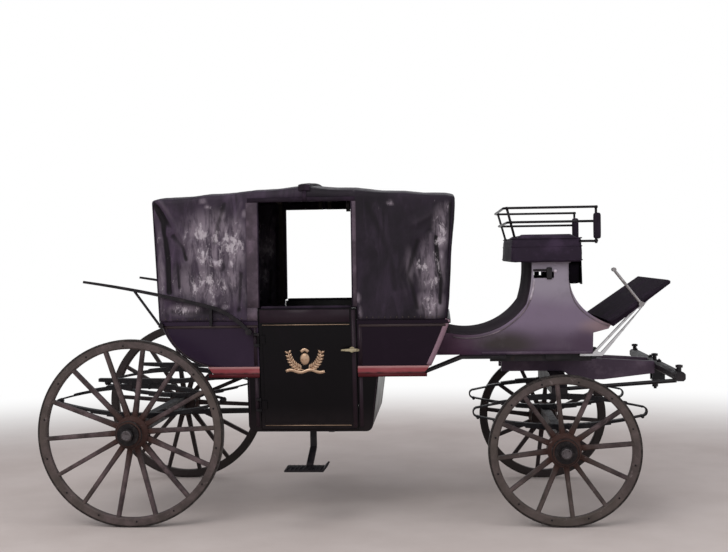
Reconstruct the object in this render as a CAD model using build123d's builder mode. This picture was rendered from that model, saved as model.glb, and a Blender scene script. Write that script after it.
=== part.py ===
from build123d import *
import math
import os

os.makedirs("parts", exist_ok=True)

# Closed landau carriage, millimetres. +X is forward, +Z is up, the ground is z = 0.
# Stations are measured forward from the rear axle and moved into the row frame by sx.
overall_length = 3835.0
rear_wheel_r = 560.0
front_wheel_r = 445.0
wheelbase = 2563.0
rear_x = rear_wheel_r - overall_length / 2
front_x = rear_x + wheelbase
front_tip_x = overall_length / 2


def sx(station):
    return rear_x + station


# Wheels
tyre_t = 12.0
tyre_w = 40.0
felloe_d = 44.0
felloe_w = 46.0
rim_y_rear = 750.0
rim_y_front = 735.0
arm_r = 20.0
running_gap = 0.05
nave_r = 100.0
nave_nose_r = 76.0
nave_heel_r = 82.0
nave_front = 55.0
nave_back = -132.0
cap_r = 66.0
cap_nose_r = 40.0
cap_flange_t = 16.0
cap_front = 104.0
spoke_root_z = -46.0
spoke_root_w = 46.0
spoke_root_t = 34.0
spoke_throat_t = 27.0
spoke_taper = 0.25
rear_spoke_count = 14
front_spoke_count = 12

# Body shell
belt_z = 1215.0
belt_half = 610.0
well_z = 532.0
well_half = 530.0
lean = (belt_half - well_half) / (belt_z - well_z)
panel_t = 22.0
corner_r = 30.0
rail_proud = 6.0
rail_low_z = belt_z - 26
rail_high_z = belt_z - 3
panel_bottom_z = 934.0
sill_bottom_z = 890.0
sill_proud = 7.0
iron_t = 16.0
iron_bottom_z = sill_bottom_z - iron_t
back_x = sx(150)
back_mid_x = sx(236)
back_mid_z = 1046.0
back_foot_x = sx(430)
front_foot_x = sx(1785)
front_top_x = sx(1905)
front_mid_x = front_top_x - 62
front_mid_z = 1060.0
well_rear_x = sx(674)
well_front_low_x = sx(1428)
well_front_x = sx(1482)
well_corner_r = 42.0
door_rear_x = sx(752)
door_front_x = sx(1350)
door_gap = 5.0
door_t = 32.0
door_proud = 5.0
door_bottom_z = 550.0
hinge_heights = (700.0, 1100.0)
hinge_out = 8.0
hinge_r = 8.0
hinge_pin_r = 5.0
hinge_l = 50.0
door_top_z = 1286.0
door_recess = 4.0
door_rear_stile = 18.0
door_front_stile = 36.0
door_panel_low_z = 584.0
door_panel_high_z = 1176.0
handle_z = 1035.0
handle_x = door_front_x - 32
handle_l = 108.0


def half_at(z):
    return belt_half - lean * (belt_z - z)


# Leather hoods
hood_half = belt_half + 8
hood_t = 14.0
hood_rear_low_x = back_x - 9
hood_rear_mid_x = back_x - 20
hood_rear_top_x = back_x - 32
hood_front_low_x = front_top_x - 15
hood_front_mid_x = front_top_x + 13
hood_front_mid_z = belt_z + 285
hood_front_top_x = front_top_x + 33
hood_joint_x = sx(1045)
hood_end_z = 1950.0
# heights above the roof and below the belt, for cutting outlines
hood_above_z = hood_end_z + 250
hood_below_z = belt_z - 215
hood_joint_z = 2018.0
hood_crown = 36.0
window_top_z = 1928.0
hood_edge_rear_x = door_rear_x - 7
hood_edge_front_x = door_front_x - 24
hood_corner_r = 28.0
bow_t = 18.0
bow_w = 26.0

# Boot under the driver's seat
boot_half = 450.0
boot_bottom_z = 985.0
boot_start_x = front_top_x + 67
fall_half = boot_half + 12
seat_rear_x = sx(2290)
seat_front_x = sx(2702)
seat_half = 500.0
seat_top_z = 1690.0
seat_bottom_z = seat_top_z - 147
rail_half = seat_half + 48
rail_r = 8.0
rail_top_z = seat_top_z + 180
rail_mid_z = seat_top_z + 95
rail_bend = 55.0

# Springs and carriage irons
spring_w = 46.0
spring_half_l = 526.0
main_leaf_t = 9.0
short_leaf_t = 7.0
# share of the half length that each shorter leaf reaches
short_leaves = (0.82, 0.62, 0.42)
leaf_t = main_leaf_t + short_leaf_t * len(short_leaves)
eye_r = 15.0
front_curl_r = 32.0
rear_spring_y = 500.0
front_spring_y = 450.0
rear_bed_top_z = rear_wheel_r + 57
front_bed_top_z = front_wheel_r + 85
rear_block_z = 829.0
front_block_z = 742.0

# Fore-carriage
ring_r = 285.0
ring_w = 42.0
ring_t = 12.0
ring_gap = 1.0
futchell_bottom_z = 855.0
futchell_top_z = 925.0
futchell_deep_z = 796.0
lower_ring_z = futchell_top_z
upper_ring_z = lower_ring_z + ring_t + ring_gap
king_r = 14.0
splinter_x = front_tip_x - 56
splinter_half = 786.0
splinter_z = 878.0
splinter_d = 58.0
splinter_h = 52.0

# Wheel shapes about their own axle, which is local Z and points outward
wheel_kinds = {}
# name, radius, spokes, angle of the first spoke
wheel_forms = (
    ("rear", rear_wheel_r, rear_spoke_count, 3.5),
    ("front", front_wheel_r, front_spoke_count, 6.0),
)
for kind, radius, count, first in wheel_forms:
    felloe_out = radius - tyre_t
    felloe_in = felloe_out - felloe_d
    with BuildPart() as tyre_shape:
        with BuildSketch(Plane.XZ):
            with Locations((radius - tyre_t / 2, 0)):
                Rectangle(tyre_t, tyre_w)
        revolve(axis=Axis.Z)
    with BuildPart() as felloe_shape:
        with BuildSketch(Plane.XZ):
            with Locations((felloe_out - felloe_d / 2, 0)):
                rim_box = Rectangle(felloe_d, felloe_w)
            chamfer(rim_box.vertices().group_by(Axis.X)[0], 8)
        revolve(axis=Axis.Z)
    spoke_run = felloe_in - nave_r
    spoke_rise = -spoke_root_z
    spoke_length = math.hypot(spoke_run, spoke_rise) + 40
    throat_length = 0.3 * spoke_length
    root_taper = math.degrees(math.atan2((spoke_root_t - spoke_throat_t) / 2, throat_length))
    with BuildPart() as spoke_shape:
        root_plane = Plane(
            origin=(nave_r - 14, 0, spoke_root_z - 14 * spoke_rise / spoke_run),
            x_dir=(0, 1, 0),
            z_dir=(spoke_run, 0, spoke_rise),
        )
        with BuildSketch(root_plane):
            root_box = Rectangle(spoke_root_t, spoke_root_w)
            chamfer(root_box.vertices(), 8)
        extrude(amount=throat_length, taper=root_taper)
        throat_face = spoke_shape.faces().sort_by(Axis(root_plane.origin, root_plane.z_dir))[-1]
        extrude(throat_face, amount=spoke_length - throat_length, taper=spoke_taper)
    with BuildPart() as spokes_shape:
        with PolarLocations(0, round(count), start_angle=first):
            add(spoke_shape.part)
        with BuildSketch(Plane.XZ):
            with Locations(((nave_r + felloe_in) / 2, spoke_root_z / 2)):
                Rectangle(felloe_in - nave_r + 16, 200)
        revolve(axis=Axis.Z, mode=Mode.INTERSECT)
    with BuildPart() as nave_shape:
        with BuildSketch(Plane.XZ):
            with BuildLine():
                Polyline(
                    (arm_r + running_gap, nave_back),
                    (nave_heel_r, nave_back),
                    (nave_r, spoke_root_z - 34),
                    (nave_r, spoke_root_z + 34),
                    (nave_nose_r + 6, spoke_root_z + 62),
                    (nave_nose_r, nave_front),
                    (arm_r + running_gap, nave_front),
                    close=True,
                )
            make_face()
        revolve(axis=Axis.Z)
    with BuildPart() as cap_shape:
        with BuildSketch(Plane.XY.offset(nave_front)):
            Circle(cap_r)
        extrude(amount=cap_flange_t)
        with BuildSketch(Plane.XY.offset(nave_front + cap_flange_t)):
            RegularPolygon(cap_nose_r, 8)
        extrude(amount=cap_front - nave_front - cap_flange_t)
        chamfer(cap_shape.faces().sort_by(Axis.Z)[-1].edges(), 4)
    with BuildPart() as wood_shape:
        add(nave_shape.part)
        add(spokes_shape.part)
        add(felloe_shape.part)
    wheel_kinds[kind] = {"tyre": tyre_shape.part, "wheel": wood_shape.part, "hub_cap": cap_shape.part}

# name, kind, axle station in x, side, rim plane
wheel_table = (
    ("rear_right", "rear", rear_x, -1, rim_y_rear, rear_wheel_r),
    ("rear_left", "rear", rear_x, 1, rim_y_rear, rear_wheel_r),
    ("front_right", "front", front_x, -1, rim_y_front, front_wheel_r),
    ("front_left", "front", front_x, 1, rim_y_front, front_wheel_r),
)
for wheel, kind, wheel_x, side, rim_y, radius in wheel_table:
    wheel_plane = Plane(origin=(wheel_x, side * rim_y, radius), x_dir=(1, 0, 0), z_dir=(0, side, 0))
    for piece in ("tyre", "wheel", "hub_cap"):
        with BuildPart() as placed:
            with Locations(wheel_plane.location):
                add(wheel_kinds[kind][piece])
        placed.part.label = f"{wheel}_{piece}"
        export_step(placed.part, f"parts/{wheel}_{piece}.step")

# Axle beds with their arms
# name, x, rim plane, axle height, spring seat height, bed half length, half depth
axle_table = (
    ("rear_axle", rear_x, rim_y_rear, rear_wheel_r, rear_bed_top_z, 602.0, 28.0),
    ("front_axle", front_x, rim_y_front, front_wheel_r, front_bed_top_z, 588.0, 26.0),
)
for axle_name, axle_x, rim_y, axle_z, bed_top, bed_half, bed_depth in axle_table:
    with BuildPart() as axle:
        with BuildSketch(Plane.YZ.offset(axle_x - bed_depth)):
            with BuildLine():
                Polyline(
                    (-bed_half, axle_z - 26),
                    (bed_half, axle_z - 26),
                    (bed_half, axle_z + 26),
                    (bed_half - 50, bed_top),
                    (-bed_half + 50, bed_top),
                    (-bed_half, axle_z + 26),
                    close=True,
                )
            make_face()
        extrude(amount=2 * bed_depth)
        with BuildSketch(Plane.XZ):
            with Locations((axle_x, axle_z)):
                Circle(arm_r)
        extrude(amount=rim_y + nave_front - 1, both=True)
    axle.part.label = axle_name
    export_step(axle.part, f"parts/{axle_name}.step")

# Elliptic springs: stepped leaves whose ends close in eyes, or in open curls on the fore springs
# name, x, y, bed height, block height, up or down, curl radius
spring_table = (
    ("rear_springs_upper", rear_x, rear_spring_y, rear_bed_top_z, rear_block_z, 1, eye_r),
    ("rear_springs_lower", rear_x, rear_spring_y, rear_bed_top_z, rear_block_z, -1, eye_r),
    ("front_springs_upper", front_x, front_spring_y, front_bed_top_z, front_block_z, 1, front_curl_r),
    ("front_springs_lower", front_x, front_spring_y, front_bed_top_z, front_block_z, -1, front_curl_r),
)


def leaf_point(x, eye_z, way, out, reach, camber, curl, end_reach):
    fall = camber - curl + main_leaf_t
    leaf_r = (end_reach**2 + fall**2) / (2 * fall)
    drop = math.sqrt((leaf_r + out) ** 2 - reach**2)
    return (x + reach, eye_z + way * (camber - leaf_r + drop))


for spring_name, spring_x, spring_y, bed_z, block_z, way, curl in spring_table:
    eye_z = (bed_z + block_z) / 2
    camber = (block_z - bed_z) / 2 - leaf_t
    end_reach = spring_half_l - curl
    with BuildPart() as spring:
        for side in (1, -1):
            leaf_in = 0.0
            for share in (1.0, *short_leaves):
                leaf_out = leaf_in + (main_leaf_t if share == 1.0 else short_leaf_t)
                reach = share * end_reach
                with BuildSketch(Plane.XZ.offset(-side * spring_y - spring_w / 2)):
                    with BuildLine():
                        outer = ThreePointArc(
                            leaf_point(spring_x, eye_z, way, leaf_out, -reach, camber, curl, end_reach),
                            leaf_point(spring_x, eye_z, way, leaf_out, 0, camber, curl, end_reach),
                            leaf_point(spring_x, eye_z, way, leaf_out, reach, camber, curl, end_reach),
                        )
                        inner = ThreePointArc(
                            leaf_point(spring_x, eye_z, way, leaf_in, reach, camber, curl, end_reach),
                            leaf_point(spring_x, eye_z, way, leaf_in, 0, camber, curl, end_reach),
                            leaf_point(spring_x, eye_z, way, leaf_in, -reach, camber, curl, end_reach),
                        )
                        Line(outer @ 1, inner @ 0)
                        Line(inner @ 1, outer @ 0)
                    make_face()
                extrude(amount=spring_w)
                leaf_in = leaf_out
            for end in (1, -1):
                with BuildSketch(Plane.XZ.offset(-side * spring_y - spring_w / 2)):
                    with Locations((spring_x + end * end_reach, eye_z)):
                        Circle(curl)
                        if curl > 2 * main_leaf_t:
                            Circle(curl - main_leaf_t, mode=Mode.SUBTRACT)
                    if curl > 2 * main_leaf_t:
                        with Locations((spring_x + end * (end_reach - 6 - curl), eye_z)):
                            Rectangle(2 * curl, 3 * curl, mode=Mode.SUBTRACT)
                extrude(amount=spring_w, mode=Mode.ADD if way > 0 else Mode.SUBTRACT)
    spring.part.label = spring_name
    export_step(spring.part, f"parts/{spring_name}.step")

# Body shell: outlines across the carriage cut to the leaning sides
with BuildSketch(Plane.YZ.offset(sx(0))) as shell_section:
    with BuildLine():
        Polyline(
            (-half_at(400), 400),
            (half_at(400), 400),
            (half_at(1400), 1400),
            (-half_at(1400), 1400),
            close=True,
        )
    make_face()
with BuildSketch(Plane.YZ.offset(sx(0))) as shell_inner_section:
    with BuildLine():
        Polyline(
            (-half_at(400) + panel_t, 400),
            (half_at(400) - panel_t, 400),
            (half_at(1400) - panel_t, 1400),
            (-half_at(1400) + panel_t, 1400),
            close=True,
        )
    make_face()
with BuildPart() as shell_outer:
    add(shell_section.sketch)
    extrude(amount=2200, dir=(1, 0, 0))
with BuildPart() as shell_inner:
    add(shell_inner_section.sketch)
    extrude(amount=2200, dir=(1, 0, 0))

# Belt rail: a raised band round the top of the quarters
with BuildPart() as rail_band:
    with BuildSketch(Plane.YZ.offset(back_x - rail_proud)):
        with BuildLine():
            Polyline(
                (-half_at(rail_low_z) - rail_proud, rail_low_z),
                (half_at(rail_low_z) + rail_proud, rail_low_z),
                (half_at(rail_high_z) + rail_proud, rail_high_z),
                (-half_at(rail_high_z) - rail_proud, rail_high_z),
                close=True,
            )
        make_face()
    extrude(amount=front_top_x - back_x + 2 * rail_proud)
    corners = rail_band.edges().filter_by(Axis.Y, reverse=True).filter_by(Axis.X, reverse=True)
    fillet(corners, corner_r + rail_proud)

# Rear quarter, open at the top and at the doorway
with BuildPart() as body_rear_void:
    with BuildSketch(Plane.XZ):
        with BuildLine():
            back_in = ThreePointArc(
                (back_x + panel_t, belt_z + 40),
                (back_mid_x + panel_t * 0.8, back_mid_z + panel_t * 0.8),
                (back_foot_x + 10, panel_bottom_z + panel_t),
            )
            Polyline(
                back_in @ 1,
                (well_rear_x + panel_t, panel_bottom_z + panel_t),
                (well_rear_x + panel_t, panel_bottom_z - 40),
                (door_rear_x + 40, panel_bottom_z - 40),
                (door_rear_x + 40, belt_z + 40),
                back_in @ 0,
            )
        make_face()
    extrude(amount=700, both=True)
    add(shell_inner.part, mode=Mode.INTERSECT)
with BuildPart() as body_rear:
    with BuildSketch(Plane.XZ):
        with BuildLine():
            back_out = ThreePointArc(
                (back_x, belt_z), (back_mid_x, back_mid_z), (back_foot_x, panel_bottom_z)
            )
            back_end = back_out @ 1 + (back_out % 1) * 90
            Polyline(
                back_out @ 1,
                back_end,
                (door_rear_x, back_end.Y),
                (door_rear_x, belt_z),
                back_out @ 0,
            )
        make_face()
    extrude(amount=700, both=True)
    add(shell_outer.part, mode=Mode.INTERSECT)
    back_face = body_rear.faces().filter_by(GeomType.CYLINDER).sort_by(Axis.X)[0]
    fillet([e for e in back_face.edges() if e not in back_face.edges().filter_by(Axis.Y)], corner_r)
    with BuildSketch(Plane.XZ):
        with Locations((back_x, panel_bottom_z - 100)):
            Rectangle(1600, 200)
    extrude(amount=700, both=True, mode=Mode.SUBTRACT)
    with BuildSketch(Plane.XZ):
        with Locations(((back_x - rail_proud + door_rear_x) / 2, (rail_low_z + rail_high_z) / 2)):
            Rectangle(door_rear_x - back_x + rail_proud, rail_high_z - rail_low_z)
    rear_rail = extrude(amount=700, both=True, mode=Mode.PRIVATE)
    add(rear_rail & rail_band.part)
    add(body_rear_void.part, mode=Mode.SUBTRACT)
body_rear.part.label = "body_rear_quarter"
export_step(body_rear.part, "parts/body_rear_quarter.step")

# Front quarter, open at the top and at the doorway
with BuildPart() as body_front_void:
    with BuildSketch(Plane.XZ):
        with BuildLine():
            front_in = ThreePointArc(
                (front_foot_x - panel_t, panel_bottom_z + panel_t),
                (front_mid_x - panel_t, front_mid_z + panel_t / 2),
                (front_top_x - panel_t, belt_z + 40),
            )
            Polyline(
                front_in @ 1,
                (door_front_x - 40, belt_z + 40),
                (door_front_x - 40, panel_bottom_z - 40),
                (well_front_x - panel_t, panel_bottom_z - 40),
                (well_front_x - panel_t, panel_bottom_z + panel_t),
                front_in @ 0,
            )
        make_face()
    extrude(amount=700, both=True)
    add(shell_inner.part, mode=Mode.INTERSECT)
with BuildPart() as body_front:
    with BuildSketch(Plane.XZ):
        with BuildLine():
            front_out = ThreePointArc(
                (front_foot_x, panel_bottom_z), (front_mid_x, front_mid_z), (front_top_x, belt_z)
            )
            front_end = front_out @ 0 - (front_out % 0) * 90
            Polyline(
                front_out @ 1,
                (door_front_x, belt_z),
                (door_front_x, front_end.Y),
                front_end,
                front_out @ 0,
            )
        make_face()
    extrude(amount=700, both=True)
    add(shell_outer.part, mode=Mode.INTERSECT)
    front_face = body_front.faces().filter_by(GeomType.CYLINDER).sort_by(Axis.X)[-1]
    fillet([e for e in front_face.edges() if e not in front_face.edges().filter_by(Axis.Y)], corner_r)
    with BuildSketch(Plane.XZ):
        with Locations((front_top_x, panel_bottom_z - 100)):
            Rectangle(1600, 200)
    extrude(amount=700, both=True, mode=Mode.SUBTRACT)
    with BuildSketch(Plane.XZ):
        with Locations(((front_top_x + rail_proud + door_front_x) / 2, (rail_low_z + rail_high_z) / 2)):
            Rectangle(front_top_x + rail_proud - door_front_x, rail_high_z - rail_low_z)
    front_rail = extrude(amount=700, both=True, mode=Mode.PRIVATE)
    add(front_rail & rail_band.part)
    add(body_front_void.part, mode=Mode.SUBTRACT)
body_front.part.label = "body_front_quarter"
export_step(body_front.part, "parts/body_front_quarter.step")

# Dropped foot-well between the quarters, cut for both doors
with BuildPart() as well_void:
    with BuildSketch(Plane.XZ):
        with BuildLine():
            Polyline(
                (well_rear_x + panel_t, panel_bottom_z + 10),
                (well_rear_x + panel_t, well_z + panel_t),
                (well_front_low_x - panel_t, well_z + panel_t),
                (well_front_x - panel_t, panel_bottom_z + 10),
                close=True,
            )
        make_face()
    extrude(amount=700, both=True)
    add(shell_inner.part, mode=Mode.INTERSECT)
with BuildPart() as foot_well:
    with BuildSketch(Plane.XZ):
        with BuildLine():
            Polyline(
                (well_rear_x, panel_bottom_z),
                (well_rear_x, well_z),
                (well_front_low_x, well_z),
                (well_front_x, panel_bottom_z),
                close=True,
            )
        make_face()
    extrude(amount=700, both=True)
    fillet(foot_well.edges().filter_by(Axis.Y).group_by(Axis.Z)[0], well_corner_r)
    add(shell_outer.part, mode=Mode.INTERSECT)
    add(well_void.part, mode=Mode.SUBTRACT)
    with BuildSketch(Plane.XZ):
        with Locations(((door_rear_x + door_front_x) / 2, (door_bottom_z - door_gap + 1000) / 2)):
            Rectangle(door_front_x - door_rear_x, 1000 - door_bottom_z + door_gap)
    extrude(amount=700, both=True, mode=Mode.SUBTRACT)
foot_well.part.label = "foot_well"
export_step(foot_well.part, "parts/foot_well.step")

# Red-painted sills, running on over the foot-well to the doors, and the iron plates under them
# outline below the quarter, outline over the foot-well
sill_outlines = (
    (
        (
            (back_foot_x + 6, panel_bottom_z),
            (back_foot_x + 40, sill_bottom_z),
            (well_rear_x, sill_bottom_z),
            (well_rear_x, panel_bottom_z),
        ),
        (
            (well_rear_x, sill_bottom_z),
            (door_rear_x, sill_bottom_z),
            (door_rear_x, panel_bottom_z),
            (well_rear_x, panel_bottom_z),
        ),
    ),
    (
        (
            (well_front_x, panel_bottom_z),
            (well_front_x, sill_bottom_z),
            (front_foot_x - 38, sill_bottom_z),
            (front_foot_x, panel_bottom_z),
        ),
        (
            (door_front_x, panel_bottom_z),
            (door_front_x, sill_bottom_z),
            (well_front_x, sill_bottom_z),
            (well_front_x, panel_bottom_z),
        ),
    ),
)
with BuildPart() as sills:
    for quarter_outline, well_outline in sill_outlines:
        for outline in (quarter_outline, well_outline):
            with BuildSketch(Plane.XZ):
                with BuildLine():
                    Polyline(*outline, close=True)
                make_face()
            extrude(amount=700, both=True)
    with BuildSketch(Plane.YZ.offset(back_x)):
        with BuildLine():
            Polyline(
                (-half_at(400) - sill_proud, 400),
                (half_at(400) + sill_proud, 400),
                (half_at(1400) + sill_proud, 1400),
                (-half_at(1400) - sill_proud, 1400),
                close=True,
            )
        make_face()
    extrude(amount=front_top_x - back_x, mode=Mode.INTERSECT)
    with BuildSketch(Plane.XY.offset(800)):
        with Locations((sx(1100), 0)):
            Rectangle(2000, 2 * (half_at(panel_bottom_z) - 50))
    extrude(amount=300, mode=Mode.SUBTRACT)
    add(foot_well.part, mode=Mode.SUBTRACT)
    with BuildSketch(Plane.XZ):
        with BuildLine():
            Polyline(
                (well_rear_x, panel_bottom_z),
                (well_rear_x, sill_bottom_z),
                (well_front_x, sill_bottom_z),
                (well_front_x, panel_bottom_z),
                close=True,
            )
        make_face()
    well_block = extrude(amount=700, both=True, mode=Mode.PRIVATE)
    add(well_block & shell_outer.part, mode=Mode.SUBTRACT)
sills.part.label = "sills"
export_step(sills.part, "parts/sills.step")

iron_in = 420.0
iron_out = 562.0
with BuildPart() as sill_irons:
    with BuildSketch(Plane.XZ):
        with Locations(((back_foot_x + 40 + well_rear_x) / 2, sill_bottom_z - iron_t / 2)):
            Rectangle(well_rear_x - back_foot_x - 40, iron_t)
        with BuildLine():
            Polyline(
                (well_front_x, sill_bottom_z),
                (well_front_x, iron_bottom_z),
                (front_foot_x - 55, iron_bottom_z),
                (boot_start_x + 6, boot_bottom_z - iron_t),
                (sx(2240), boot_bottom_z - iron_t),
                (sx(2240), boot_bottom_z),
                (boot_start_x, boot_bottom_z),
                (front_foot_x - 48, sill_bottom_z),
                close=True,
            )
        make_face()
    extrude(amount=iron_out, both=True)
    with BuildSketch(Plane.XY.offset(800)):
        with Locations((sx(1400), 0)):
            Rectangle(2600, 2 * iron_in)
    extrude(amount=300, mode=Mode.SUBTRACT)
    add(sills.part, mode=Mode.SUBTRACT)
sill_irons.part.label = "sill_irons"
export_step(sill_irons.part, "parts/sill_irons.step")

# Doors, hinged along their rear edges
for name, side in (("right", -1), ("left", 1)):
    with BuildPart() as door:
        with BuildSketch(Plane.YZ.offset(door_rear_x + door_gap)):
            with BuildLine():
                Polyline(
                    (side * (half_at(door_bottom_z) + door_proud), door_bottom_z),
                    (side * (half_at(door_top_z) + door_proud), door_top_z),
                    (side * (half_at(door_top_z) + door_proud - door_t), door_top_z),
                    (side * (half_at(door_bottom_z) + door_proud - door_t), door_bottom_z),
                    close=True,
                )
            make_face()
        extrude(amount=door_front_x - door_rear_x - 2 * door_gap)
        with BuildSketch(Plane.YZ.offset(door_rear_x + door_gap + door_rear_stile)):
            with BuildLine():
                Polyline(
                    (side * (half_at(door_panel_low_z) + door_proud - door_recess), door_panel_low_z),
                    (side * (half_at(door_panel_high_z) + door_proud - door_recess), door_panel_high_z),
                    (side * (half_at(door_panel_high_z) + door_t), door_panel_high_z),
                    (side * (half_at(door_panel_low_z) + door_t), door_panel_low_z),
                    close=True,
                )
            make_face()
        door_panel_l = door_front_x - door_rear_x - 2 * door_gap - door_rear_stile - door_front_stile
        extrude(amount=door_panel_l, mode=Mode.SUBTRACT)
        for hinge_z in hinge_heights:
            knuckle_plane = Plane(
                origin=(door_rear_x, side * (half_at(hinge_z) + door_proud + hinge_out), hinge_z),
                x_dir=(1, 0, 0),
                z_dir=(0, side * lean, 1),
            )
            with BuildSketch(knuckle_plane.offset(-hinge_l / 2)):
                RegularPolygon(hinge_r, 8)
                with Locations((20, -side * (hinge_out - 2.2))):
                    Rectangle(40, 5)
            extrude(amount=hinge_l)
            with BuildSketch(knuckle_plane.offset(-hinge_l)):
                Circle(hinge_pin_r + running_gap)
            extrude(amount=2 * hinge_l, mode=Mode.SUBTRACT)
    door.part.label = f"{name}_door"
    export_step(door.part, f"parts/{name}_door.step")
    handle_y = half_at(handle_z) + door_proud
    with BuildPart() as handle:
        with BuildSketch(Plane.XZ.offset(-side * (handle_y - 4))):
            with Locations((handle_x, handle_z)):
                RegularPolygon(18, 8)
        extrude(amount=-side * 12)
        with BuildSketch(Plane.XZ.offset(-side * (handle_y + 6))):
            with Locations((handle_x, handle_z)):
                Rectangle(13, 13)
        extrude(amount=-side * 26)
        with BuildSketch(Plane.XZ.offset(-side * (handle_y + 30))):
            with BuildLine():
                Polyline(
                    (handle_x + 45, handle_z - 6),
                    (handle_x + 45, handle_z + 6),
                    (handle_x + 14, handle_z + 9),
                    (handle_x - 20, handle_z + 8),
                    (handle_x + 45 - handle_l, handle_z + 4),
                    (handle_x + 45 - handle_l, handle_z - 5),
                    (handle_x - 20, handle_z - 7),
                    (handle_x + 14, handle_z - 9),
                    close=True,
                )
            make_face()
        extrude(amount=-side * 11)
        add(door.part, mode=Mode.SUBTRACT)
    handle.part.label = f"{name}_door_handle"
    export_step(handle.part, f"parts/{name}_door_handle.step")


# Door hinge pins and the blocks that hold them on the cabin sides
with BuildPart() as door_hinges:
    for side in (1, -1):
        for hinge_z in hinge_heights:
            pin_plane = Plane(
                origin=(door_rear_x, side * (half_at(hinge_z) + door_proud + hinge_out), hinge_z),
                x_dir=(1, 0, 0),
                z_dir=(0, side * lean, 1),
            )
            with BuildSketch(pin_plane.offset(-hinge_l / 2 - 8)):
                Circle(hinge_pin_r)
            extrude(amount=hinge_l + 16)
            for start in (-hinge_l / 2 - 15, hinge_l / 2 + 1):
                with BuildSketch(pin_plane.offset(start)):
                    RegularPolygon(hinge_r, 8)
                    with Locations((-14, -side * 6)):
                        Rectangle(24, 20)
                extrude(amount=14)
    add(body_rear.part, mode=Mode.SUBTRACT)
    add(foot_well.part, mode=Mode.SUBTRACT)
door_hinges.part.label = "door_hinges"
export_step(door_hinges.part, "parts/door_hinges.step")


def hood_arch(half, top, crown, foot):
    with BuildSketch(Plane.YZ) as arch:
        with BuildLine():
            Polyline((half, top), (half, foot), (-half, foot), (-half, top))
            ThreePointArc((-half, top), (0, top + crown), (half, top))
        make_face()
    return arch.sketch


# Leather hoods: an arch run along each roof slope, cut to the side outline
# name, start x, start height, slope run, slope rise, outline of the closed sides
roof_drop = hood_joint_z - hood_end_z
hood_table = (
    (
        "rear",
        hood_rear_top_x,
        hood_joint_x - 1 - hood_rear_top_x,
        roof_drop,
        (
            (hood_rear_low_x, belt_z),
            (hood_rear_mid_x, 1590),
            (hood_rear_top_x, hood_end_z),
            (hood_rear_top_x, hood_above_z),
            (hood_joint_x - 1, hood_above_z),
            (hood_joint_x - 1, window_top_z),
            (hood_edge_rear_x, window_top_z),
            (hood_edge_rear_x, belt_z),
        ),
        (
            (hood_rear_low_x + hood_t, belt_z - 20),
            (hood_rear_mid_x + hood_t, 1590),
            (hood_rear_top_x + hood_t, hood_end_z),
            (hood_rear_top_x + hood_t, hood_above_z),
            (hood_joint_x + 9, hood_above_z),
            (hood_joint_x + 9, belt_z - 20),
        ),
    ),
    (
        "front",
        hood_front_top_x,
        hood_joint_x + 1 - hood_front_top_x,
        roof_drop,
        (
            (hood_front_low_x, belt_z),
            (hood_front_mid_x, hood_front_mid_z),
            (hood_front_top_x, hood_end_z),
            (hood_front_top_x, hood_above_z),
            (hood_joint_x + 1, hood_above_z),
            (hood_joint_x + 1, window_top_z),
            (hood_edge_front_x, window_top_z),
            (hood_edge_front_x, door_top_z + 6),
            (door_front_x + door_gap, door_top_z + 6),
            (door_front_x + door_gap, belt_z),
        ),
        (
            (hood_front_low_x - hood_t, belt_z - 20),
            (hood_front_mid_x - hood_t, hood_front_mid_z),
            (hood_front_top_x - hood_t, hood_end_z),
            (hood_front_top_x - hood_t, hood_above_z),
            (hood_joint_x - 9, hood_above_z),
            (hood_joint_x - 9, belt_z - 20),
        ),
    ),
)
hoods = {}
bow_stations = {
    "rear": (sx(150), sx(430), hood_edge_rear_x - bow_w - 2, sx(1000)),
    "front": (door_front_x + door_gap, sx(1620), sx(1862), sx(1065)),
}
bow_parts = []
joint_parts = []
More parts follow.
